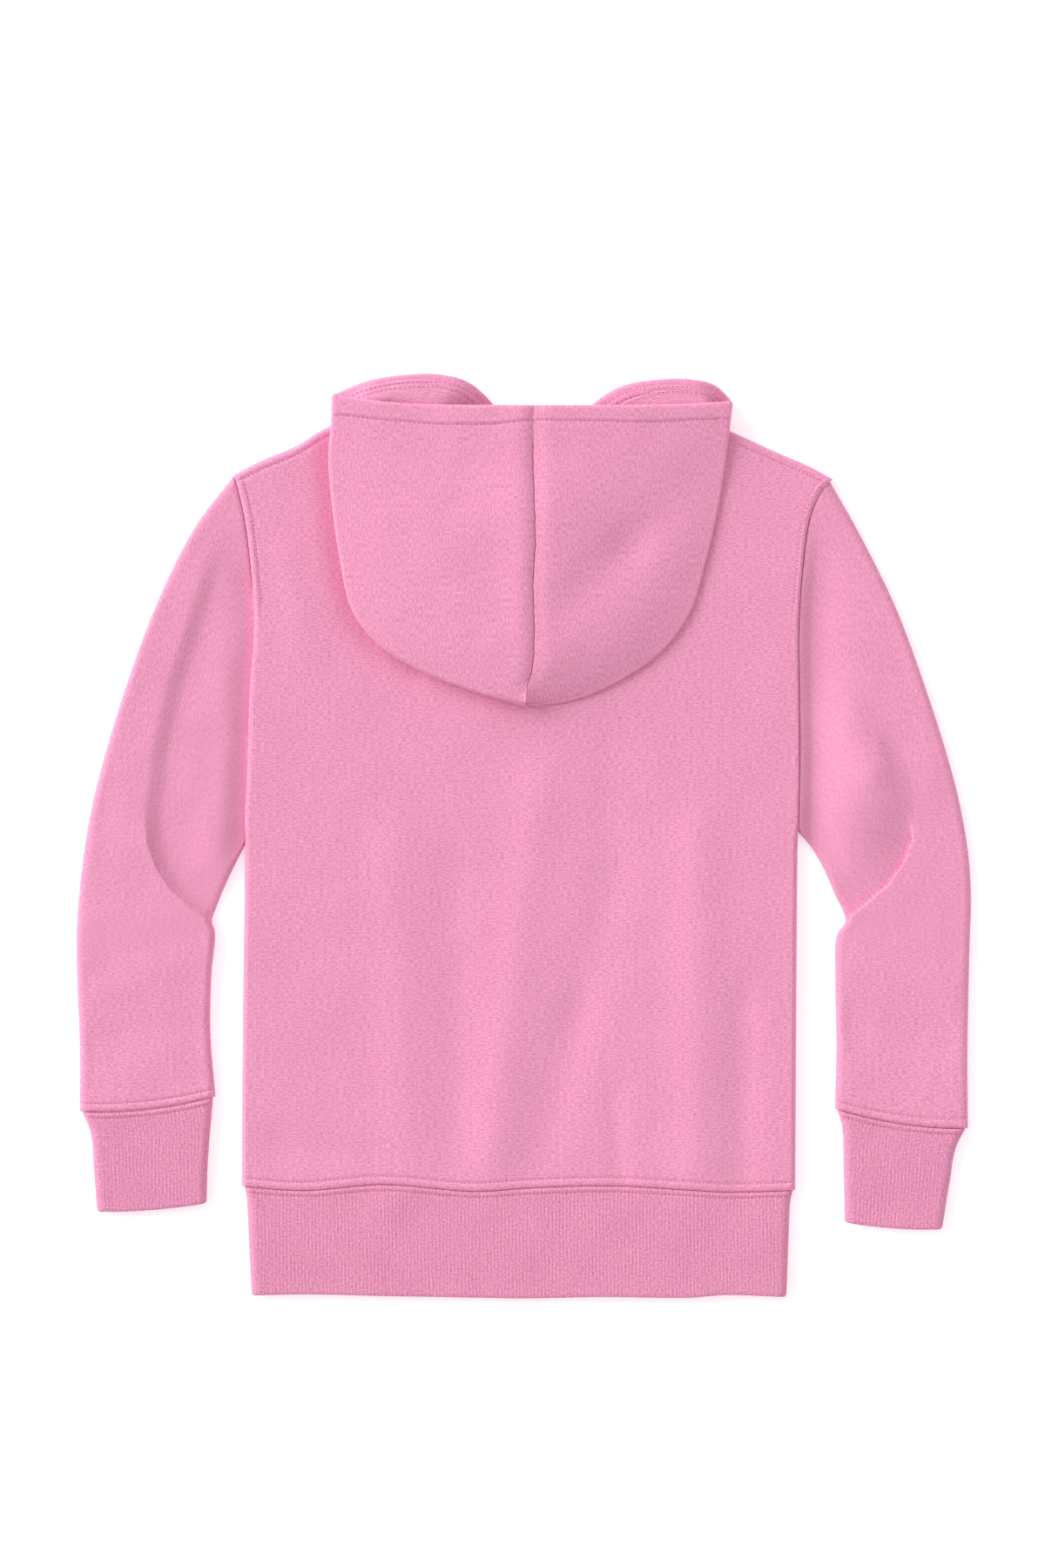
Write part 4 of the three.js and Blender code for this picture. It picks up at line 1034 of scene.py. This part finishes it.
def hoodHalf(side):
    isLeft = side == "left"
    outward = -1 if isLeft else 1
    pick = slice(0, 2) if isLeft else slice(2, 4)
    outlinePoints = [Vector(row[pick]) for row in hoodOutline]
    outline = evenLine(outlinePoints)
    rimPoints = [Vector(row[pick]) for row in lowerRim]
    rim = evenLine(rimPoints)
    rimLength = sum((b - a).length for a, b in zip(rimPoints, rimPoints[1:]))
    neckX = body["neckLeft"] + body["neckBlend"] if isLeft else body["neckRight"] - body["neckBlend"]
    roll = hood["roll"]
    tipY = hoodSeam[-1][0] + roll
    corner = outlinePoints[0]
    nape = valueAt(topLine, 1, hoodSeam[0][1])
    under = body["top"] + cloth["seamGap"]
    hemStitch = hemStitchLeft if isLeft else hemStitchRight
    seamDown, seamReach = hood["seamEdgeLeft"] if isLeft else hood["seamEdgeRight"]

    def seamX(y):
        waves = [high * noise.noise(Vector((y / long, seed, 1))) for high, long, seed in hood["wobble"]]
        return valueAt(hoodSeam, 1, y) + outward * cloth["seamGap"] / 2 + sum(waves)

    outlineLength = sum((b - a).length for a, b in zip(outlinePoints, outlinePoints[1:]))
    shoulderX = outlinePoints[1].x - outward * roll
    toShoulder = corner.y - valueAt(topLine, 1, shoulderX) - 1
    # Rows are numbered from the mouth's edge to the tip: 1 is the hem's end, 4 is where the lower
    # layer splits into the flap before the neck and the nape behind it, and 5 lies on the body.
    # Each has its place along the outline and along the centre seam.
    hem, step = hood["hem"], hood["hemStep"]
    marks = [
        (0, 0), (0.74 * toShoulder, hem), (0.85 * toShoulder, hem + step),
        (0.93 * toShoulder, hem + 2 * step), (toShoulder, hem + 4 * step),
        (toShoulder + body["roll"] + 0.5, hem + 8 * step),
    ]
    split, onBody, lastRow = 4, 5, 17

    def station(r):
        if r >= onBody:
            t = (r - onBody) / (lastRow - onBody)
            return lerp(marks[-1][0], outlineLength, t), lerp(marks[-1][1], hood["mouthY"] - tipY, t)
        i = min(int(r), split)
        return tuple(lerp(a, b, r - i) for a, b in zip(marks[i], marks[i + 1]))

    def direction(share):
        a, b = outline(share - 0.01), outline(share + 0.01)
        normal = Vector((b.y - a.y, a.x - b.x)).normalized()
        if normal.x * outward < 0:
            normal = -normal
        normal = normal.lerp(Vector((outward, 0)), 1 - smooth(share, 0, 0.08))
        return normal.lerp(Vector((0, -1)), smooth(share, 0.9, 1)).normalized()

    def topHeight(share, across, x, y, fromMouth):
        shoulder = hood[side + "Shoulder"]
        if not isLeft:
            shoulder += hood["mouthRise"] * (1 - smooth(share, 0, 0.25))
        crown = lerp(hood["crown"], shoulder + hood["edgeFall"], across**1.3)
        crown -= hood["edgeFall"] * smooth(across, 0.7, 1.3) * 2
        flat = 1 - across**2
        height = crown - hood["mouthDrop"] * (1 - smooth(share, 0, 0.35)) * flat
        height -= hood["tipDrop"] * smooth(share, 0.7, 1) * flat
        aside = abs(x - seamX(y))
        sewn = 1 - smooth(share, 0.9, 0.98)
        dip, dipReach = hood["seamDip"]
        height -= sewn * dip * bell(aside, dipReach)
        # the seam's allowances lie to the left, so that half stands a little proud
        if isLeft:
            proud, proudReach = hood["seamProud"]
            height += sewn * proud * bell(aside, proudReach)
        height -= sewn * seamDown * (1 - roundOff(aside, seamReach))
        soft = softFolds(hoodFolds, x, y) + sum(slack(x, y, *wave) for wave in hood["slack"])
        height += soft * (1 - across**4)
        if fromMouth < hood["hemZone"]:
            off = offLine(hemStitch, x, y)[0]
            groove, grooveReach = hood["hemGroove"]
            height += hood["hemSwell"] * (1 - smooth(-off, -1, 1.2)) - groove * bell(off, grooveReach)
        return height

    rows = [0, 0.012, 0.035, 0.07, 0.12, 0.19, 0.27, 0.36, 0.46, 0.56, 0.64, 0.7, 0.75, 0.8, 0.85, 0.9]
    rows += [0.95, 1, 1.1, 1.35, 1.7, 2, 2.35, 2.7, 3, 3.25, 3.5, 3.75, 4, 4.2, 4.4, 4.6, 4.8, 5]
    rows += [onBody + k / 8 for k in range(1, 8 * (lastRow - onBody) + 1)]
    topShares = spacing(100, [0, 0.15, 0.4, 0.8, 1.3, 2, 3, 4.5], [0, 1.2], 1.25)
    flapShares = [j / 90 for j in range(91)]
    napeShares = [j / 26 for j in range(27)]
    knots, places, numbers = [], [], []

    def add(outer, inner, place, closing=1):
        knots.append(closeEdge(outer, inner, closing) if closing < 1 else (tuple(outer), tuple(inner)))
        places.append(place)
        return len(knots) - 1

    for r in rows:
        onOutline, onSeam = station(r)
        share = onOutline / outlineLength
        wall = lerp(cloth["hemWall"], cloth["fleeceWall"], clamp(r - 1))
        edge, out = outline(share), direction(share)
        inboard = edge - out * roll
        seamY = hood["mouthY"] - onSeam
        start = Vector((seamX(seamY), seamY))
        isLast = r == lastRow
        row = {"top": [], "roll": [], "flap": [], "nape": []}

        for across in topShares:
            if isLast and across < 1:
                continue
            rise = (corner.y - hood["mouthY"]) * (across**4 - across) * (1 - share) ** 6
            x, y = lerp(start.x, inboard.x, across), lerp(start.y, inboard.y, across) + rise
            fromMouth = lerp(onSeam, onOutline, across)
            z = topHeight(share, across, x, y, fromMouth)
            closing = roundOff(fromMouth, cloth["hemWall"] / 2)
            row["top"].append(add((x, y, z), (x, y, z - wall), (corner.y - y, x), closing))
        if isLast:
            row["top"] = row["top"] * len(topShares)

        edgeTop = topHeight(share, 1, inboard.x, inboard.y, onOutline)
        low = 0
        if r > 3:
            low = lerp(0, hood["overShoulder"], clamp(r - 3))
        if r > 4:
            low = lerp(hood["overShoulder"], under, clamp(r - 4))
        middle, half = (edgeTop + low) / 2, (edgeTop - low) / 2
        closing = roundOff(onOutline, cloth["hemWall"] / 2)
        for angle in tubeAngles:
            turn = math.radians(angle)
            outerAt = edge + out * roll * (math.cos(turn) - 1)
            innerAt = edge + out * ((roll - wall) * math.cos(turn) - roll)
            run = abs(inboard.x) + roll * hood["runAtRoll"] * (math.pi / 2 - turn)
            row["roll"].append(add(
                (*outerAt, middle + half * math.sin(turn)),
                (*innerAt, middle + (half - wall) * math.sin(turn)),
                (onOutline, outward * run), closing,
            ))
        runAtFold = abs(inboard.x) + roll * hood["runAtRoll"] * math.pi

        if r <= split:
            for across in flapShares:
                onRim = rim(across)
                alongNeck = clamp((across - hood["neckShare"]) / (1 - hood["neckShare"]))
                if across < hood["neckShare"]:
                    neckAt = lerp(inboard.x, neckX, clamp(across * 2.6))
                else:
                    neckAt = lerp(neckX, hood["throatX"] + outward * 0.2, alongNeck)
                above = lerp(1, 2 * cloth["seamGap"], smooth(alongNeck, 0, 0.2))
                onNeck = Vector((neckAt, valueAt(topLine, 2, neckAt) + above))
                reach = max((onRim - onNeck).length, 0.1)
                far = min((hem + step) / reach, 0.68)
                shares = [0, min(hem / reach, 0.6), far, lerp(far, 1, 0.5), 1]
                i = min(int(r), 3)
                onFlap = lerp(shares[i], shares[i + 1], r - i)
                place = inboard if across == 0 else onRim.lerp(onNeck, onFlap)
                lift = clamp(r - 3) * hood["overShoulder"] * (1 - smooth(across, 0.1, 0.34))
                fromRim = onFlap * reach
                groove, grooveReach = hood["innerGroove"]
                relief = sum(groove * bell(fromRim - d, grooveReach) for d in hood["hemRows"])
                endStep, endReach = hood["hemEndStep"]
                hemEnd = hood["hemRows"][1]
                relief += endStep * smooth(fromRim, hemEnd, hemEnd + endReach) * (1 - clamp(r - 1))
                lobe = smooth(across, 0.02, 0.2) * (1 - smooth(across, 0.5, 0.72))
                lobe *= 1 - smooth(fromRim, 20, 45)
                lift += hood[side + "Lobe"] * lobe * lerp(0.6, 1, smooth(fromRim, 0, 16))
                row["flap"].append(add(
                    (*place, lift), (*place, lift + wall - relief),
                    (fromRim, outward * (runAtFold + across * rimLength)),
                    roundOff(fromRim, cloth["hemWall"] / 2) if across > 0 else closing,
                ))

        if r >= split:
            for across in napeShares:
                if isLast and across > 0:
                    continue

                def onBack(at, fold):
                    end = Vector((0, lerp(nape, tipY, (at - toShoulder) / (outlineLength - toShoulder))))
                    end.x = seamX(end.y)
                    x = lerp(fold.x, end.x, across)
                    neckline = valueAt(topLine, 1, x)
                    follow = max(0, 1 - (at - marks[-1][0]) / hood["neckReach"]) ** 2
                    y = lerp(lerp(fold.y, end.y, across), neckline - body["roll"] + 0.5, follow)
                    return Vector((x, y, under))

                if r >= onBody:
                    spot = onBack(onOutline, inboard)
                else:
                    end = Vector((seamX(nape), nape))
                    x = lerp(inboard.x, end.x, across)
                    above = lerp(1, -cloth["seamGap"], smooth(across, 0, 0.1))
                    lift = lerp(hood["overShoulder"], under, smooth(across, 0, 0.12))
                    first = Vector((x, valueAt(topLine, 1, x) + above, lift))
                    nextShare = marks[-1][0] / outlineLength
                    fold = outline(nextShare) - direction(nextShare) * roll
                    spot = first.lerp(onBack(marks[-1][0], fold), r - split)
                row["nape"].append(add(
                    spot, spot + Vector((0, 0, wall)),
                    (onOutline, outward * (runAtFold + abs(inboard.x - spot.x))),
                ))
            if isLast:
                row["nape"] = row["nape"] * len(napeShares)
        numbers.append(row)

    splitRow = rows.index(split)
    numbers[splitRow]["nape"][0] = numbers[splitRow]["flap"][0]
    patches = []

    def strip(first, last, lower):
        for i in range(first, last):
            a = numbers[i]["top"] + numbers[i]["roll"] + numbers[i][lower]
            b = numbers[i + 1]["top"] + numbers[i + 1]["roll"] + numbers[i + 1][lower]
            for j in range(len(a) - 1):
                ring = [a[j], a[j + 1], b[j + 1], b[j]]
                # the turned hem shows the jersey's face on the inside too
                isHem = places[a[j]][0] < hood["hemRows"][1]
                patches.append((ring, [places[k] for k in ring], 0 if isHem else 1))

    strip(0, splitRow, "flap")
    strip(splitRow, len(rows) - 1, "nape")
    used = sorted({k for ring, _, _ in patches for k in ring})
    fresh = {old: i for i, old in enumerate(used)}
    patches = [([fresh[k] for k in ring], uv, inside) for ring, uv, inside in patches]
    return [knots[k] for k in used], patches


hoodHalves = []
for side in ("left", "right"):
    knots, patches = hoodHalf(side)
    hoodHalves.append(sewPiece("hood_half_" + side, knots, patches, [jerseyFace, brushedBack], {
        "node": "hood_" + side, "slot": "fleece", "cut": (0.25, 0.2), "area": 0.03, "held": "folded",
        "restsOn": ["back_panel"],
    }))

# Stitches

sewing = {
    "thread": 0.5,
    "sunk": 0.38,  # of the thread's width, how far a stitch lies in the cloth
    "seamPitch": 2.1,
    "hemPitch": 2.4,
    "length": 0.6,  # of a stitch, as a share of its pitch
    "unevenness": 0.12,  # of the pitch
    "flatEnough": 0.3,  # the least upward part of a surface's normal where a stitch is sewn
    "above": 20,  # where the surface is looked for from: the flat parts, the hood and its lobes
    "aboveHood": 40,
    "aboveLobe": 13,
    "waistUpper": (-141.5, 136.2),  # the ends of each row, across
    "waistLower": (-138.8, 133.6),
    "cuff": (0.035, 0.965),
    "armholeTop": 180,
    "shoulders": ((-143, -103), (109, 152)),
    "lobe": (0.03, 0.6),
}


def stitchGrain():
    # one stitch, a grain one unit long and one wide
    bpy.ops.mesh.primitive_uv_sphere_add(
        segments=6, ring_count=5, radius=0.5, location=(0, 0, 0), rotation=(0, math.pi / 2, 0),
    )
    grain = bpy.context.object
    bpy.ops.object.transform_apply(location=False, rotation=True, scale=False)
    points = [v.co.copy() for v in grain.data.vertices]
    faces = [list(p.vertices) for p in grain.data.polygons]
    bpy.data.objects.remove(grain)
    return points, faces


grainPoints, grainFaces = stitchGrain()


def sewRows(name, rows, surfaces, pitch):
    # each row: its points in plan and the height from which the surface below it is looked for
    depsgraph = bpy.context.evaluated_depsgraph_get()
    trees = [BVHTree.FromObject(s, depsgraph) for s in surfaces]
    points, faces = [], []

    def surfaceAt(x, y, start):
        best = None
        for tree in trees:
            hit, normal = tree.ray_cast(Vector((x, y, start)) * millimetre, Vector((0, 0, -1)))[:2]
            if hit and normal.z > sewing["flatEnough"] and (best is None or hit.z > best[0].z):
                best = (hit, normal)
        return best

    for line, start in rows:
        run = [0]
        for a, b in zip(line, line[1:]):
            run.append(run[-1] + math.dist(a, b))
        count = round(run[-1] / pitch)
        for k in range(count):
            uneven = sewing["unevenness"] * noise.noise(Vector((k * 0.7, run[-1], 1)))
            middle = (k + 0.5 + uneven) * run[-1] / count
            i = clamp(bisect.bisect_right(run, middle), 1, len(line) - 1)
            t = (middle - run[i - 1]) / (run[i] - run[i - 1])
            x, y = lerp(line[i - 1][0], line[i][0], t), lerp(line[i - 1][1], line[i][1], t)
            found = surfaceAt(x, y, start)
            if not found:
                continue
            hit, normal = found
            along = Vector((line[i][0] - line[i - 1][0], line[i][1] - line[i - 1][1], 0)).normalized()
            along = (along - normal * along.dot(normal)).normalized()
            side = normal.cross(along)
            turn = Matrix((along, side, normal)).transposed()
            base = len(points)
            size = Vector((pitch * sewing["length"], sewing["thread"], sewing["thread"])) * millimetre
            centre = hit + normal * size.z * (0.5 - sewing["sunk"])
            points += [centre + turn @ (p * size) for p in grainPoints]
            faces += [[v + base for v in face] for face in grainFaces]
    mesh = bpy.data.meshes.new(name)
    mesh.from_pydata(points, [], faces)
    mesh.materials.append(threadWithHoleShade)
    mesh.validate()
    piece = placeMesh(name, mesh)
    bpy.ops.object.shade_smooth()
    piece.select_set(False)
    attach(piece, "root")
    print(name, "sewn:", len(faces) // len(grainFaces), "stitches")


def steps(low, high, step):
    count = max(2, round((high - low) / step))
    return [lerp(low, high, k / count) for k in range(count + 1)]


waistRows = []
for ends, off in (("waistUpper", body["waistStitch"] + body["waistGap"]), ("waistLower", -rib["stitch"])):
    waistRows.append(([(x, waistSeam(x) + off) for x in steps(*sewing[ends], 6)], sewing["above"]))
sewRows("waist_stitching", waistRows, [back, waistband], sewing["seamPitch"])


def cuffRow(edge, offset):
    a, b = Vector(edge[:2]), Vector(edge[2:])
    line = []
    for across in steps(*sewing["cuff"], 0.06):
        place = a.lerp(b, across)
        line.append((place.x, place.y + offset + sleeve["cuffSag"] * 4 * across * (1 - across)))
    return line


cuffRows = []
for sleeveRows, cuffEdges in ((leftSleeve, leftCuff), (rightSleeve, rightCuff)):
    cuffRows.append((cuffRow(sleeveRows[-1], sleeve["cuffStitch"]), sewing["above"]))
    cuffRows.append((cuffRow(cuffEdges[0], -rib["stitch"]), sewing["above"]))
sewRows("cuff_stitching", cuffRows, sleeves + cuffs, sewing["seamPitch"])

shoulderRows = []
for column, inset in ((1, body["leftArmholeStitch"]), (2, -body["rightArmholeStitch"])):
    ys = steps(body["stitchEnd"], sewing["armholeTop"], 5)
    shoulderRows.append(([(bodyEdge(column, y) + inset, y) for y in ys], sewing["above"]))
for ends in sewing["shoulders"]:
    row = [(x, valueAt(topLine, 1, x) - body["shoulderStitch"]) for x in steps(*ends, 4)]
    shoulderRows.append((row, sewing["above"]))
sewRows("shoulder_stitching", shoulderRows, [back], sewing["seamPitch"])


def curveRow(points, step=3):
    line = evenLine([Vector(p) for p in points])
    count = round(sum(math.dist(a, b) for a, b in zip(points, points[1:])) / step)
    return [tuple(line(k / count)) for k in range(count + 1)]


def lobeRow(side, distance):
    pick = slice(0, 2) if side == "left" else slice(2, 4)
    rim = evenLine([Vector(row[pick]) for row in lowerRim])
    line = []
    for share in steps(*sewing["lobe"], 0.02):
        along = rim(share + 0.01) - rim(share - 0.01)
        inward = Vector((along.y, -along.x)).normalized()
        if inward.y > 0 or (inward.y > -0.05 and inward.x * (1 if side == "left" else -1) > 0):
            inward = -inward
        line.append(tuple(rim(share) + inward * distance))
    return line


hemRows = [(curveRow(points), sewing["aboveHood"]) for points in (hemStitchLeft, hemStitchRight)]
for side in ("left", "right"):
    hemRows += [(lobeRow(side, off), sewing["aboveLobe"]) for off in hood["hemRows"]]
sewRows("hood_stitching", hemRows, hoodHalves, sewing["hemPitch"])

# Floor, light and camera

studio = {
    "floor": "#fbf9fa",
    "floorSize": 8000,
    "floorBelow": 0.2,  # under the garment's own lowest faces
    "world": 0.7,
    "key": 2.72,
    "keySpread": 44,
    "keyFrom": (-1.4, 0.85, 0.68),  # low, from the picture's upper left
    "floorGlow": 0.35,  # keeps the paper pure white round the garment
}


def studioFloor():
    place = (0, 0, -studio["floorBelow"] * millimetre)
    bpy.ops.mesh.primitive_plane_add(size=studio["floorSize"] * millimetre, location=place)
    floor = bpy.context.object
    floor.name = "studioFloor"
    material = bpy.data.materials.new("studioPaper")  # matt white background paper
    material.use_nodes = True
    tree = material.node_tree
    tree.nodes.clear()
    shader = addNode(
        tree, "ShaderNodeBsdfPrincipled",
        values={
            "Base Color": linear(studio["floor"]), "Roughness": 0.95, "Specular IOR Level": 0.1,
            "Emission Color": (1, 1, 1, 1), "Emission Strength": studio["floorGlow"],
        },
    )
    addNode(tree, "ShaderNodeOutputMaterial", wires={"Surface": shader.outputs["BSDF"]})
    floor.data.materials.append(material)


def softLight(name, strength, spread, place):
    bpy.ops.object.light_add(type="SUN", location=place)
    lamp = bpy.context.object
    lamp.name = name
    lamp.data.energy = strength
    lamp.data.angle = math.radians(spread)
    lamp.rotation_euler = (-Vector(place)).to_track_quat("-Z", "Y").to_euler()


studioFloor()
softLight("keyLight", studio["key"], studio["keySpread"], studio["keyFrom"])
world = bpy.data.worlds.new("studioWorld")
world.use_nodes = True
world.node_tree.nodes["Background"].inputs["Color"].default_value = (1, 1, 1, 1)
world.node_tree.nodes["Background"].inputs["Strength"].default_value = studio["world"]
bpy.context.scene.world = world
bpy.context.scene.view_settings.view_transform = "Standard"

view = {
    "centre": (-0.66, 26.6),  # what the middle of the picture looks at
    "height": 797.4,  # of the picture at the garment
    "distance": 3200,
    "sensor": 36,
}
bpy.ops.object.camera_add(location=Vector((*view["centre"], view["distance"])) * millimetre)
camera = bpy.context.object
camera.data.sensor_width = view["sensor"]
camera.data.lens = view["sensor"] * (view["distance"] - body["top"]) / view["height"]
camera.data.clip_end = 20
bpy.context.scene.camera = camera
print("studio set")
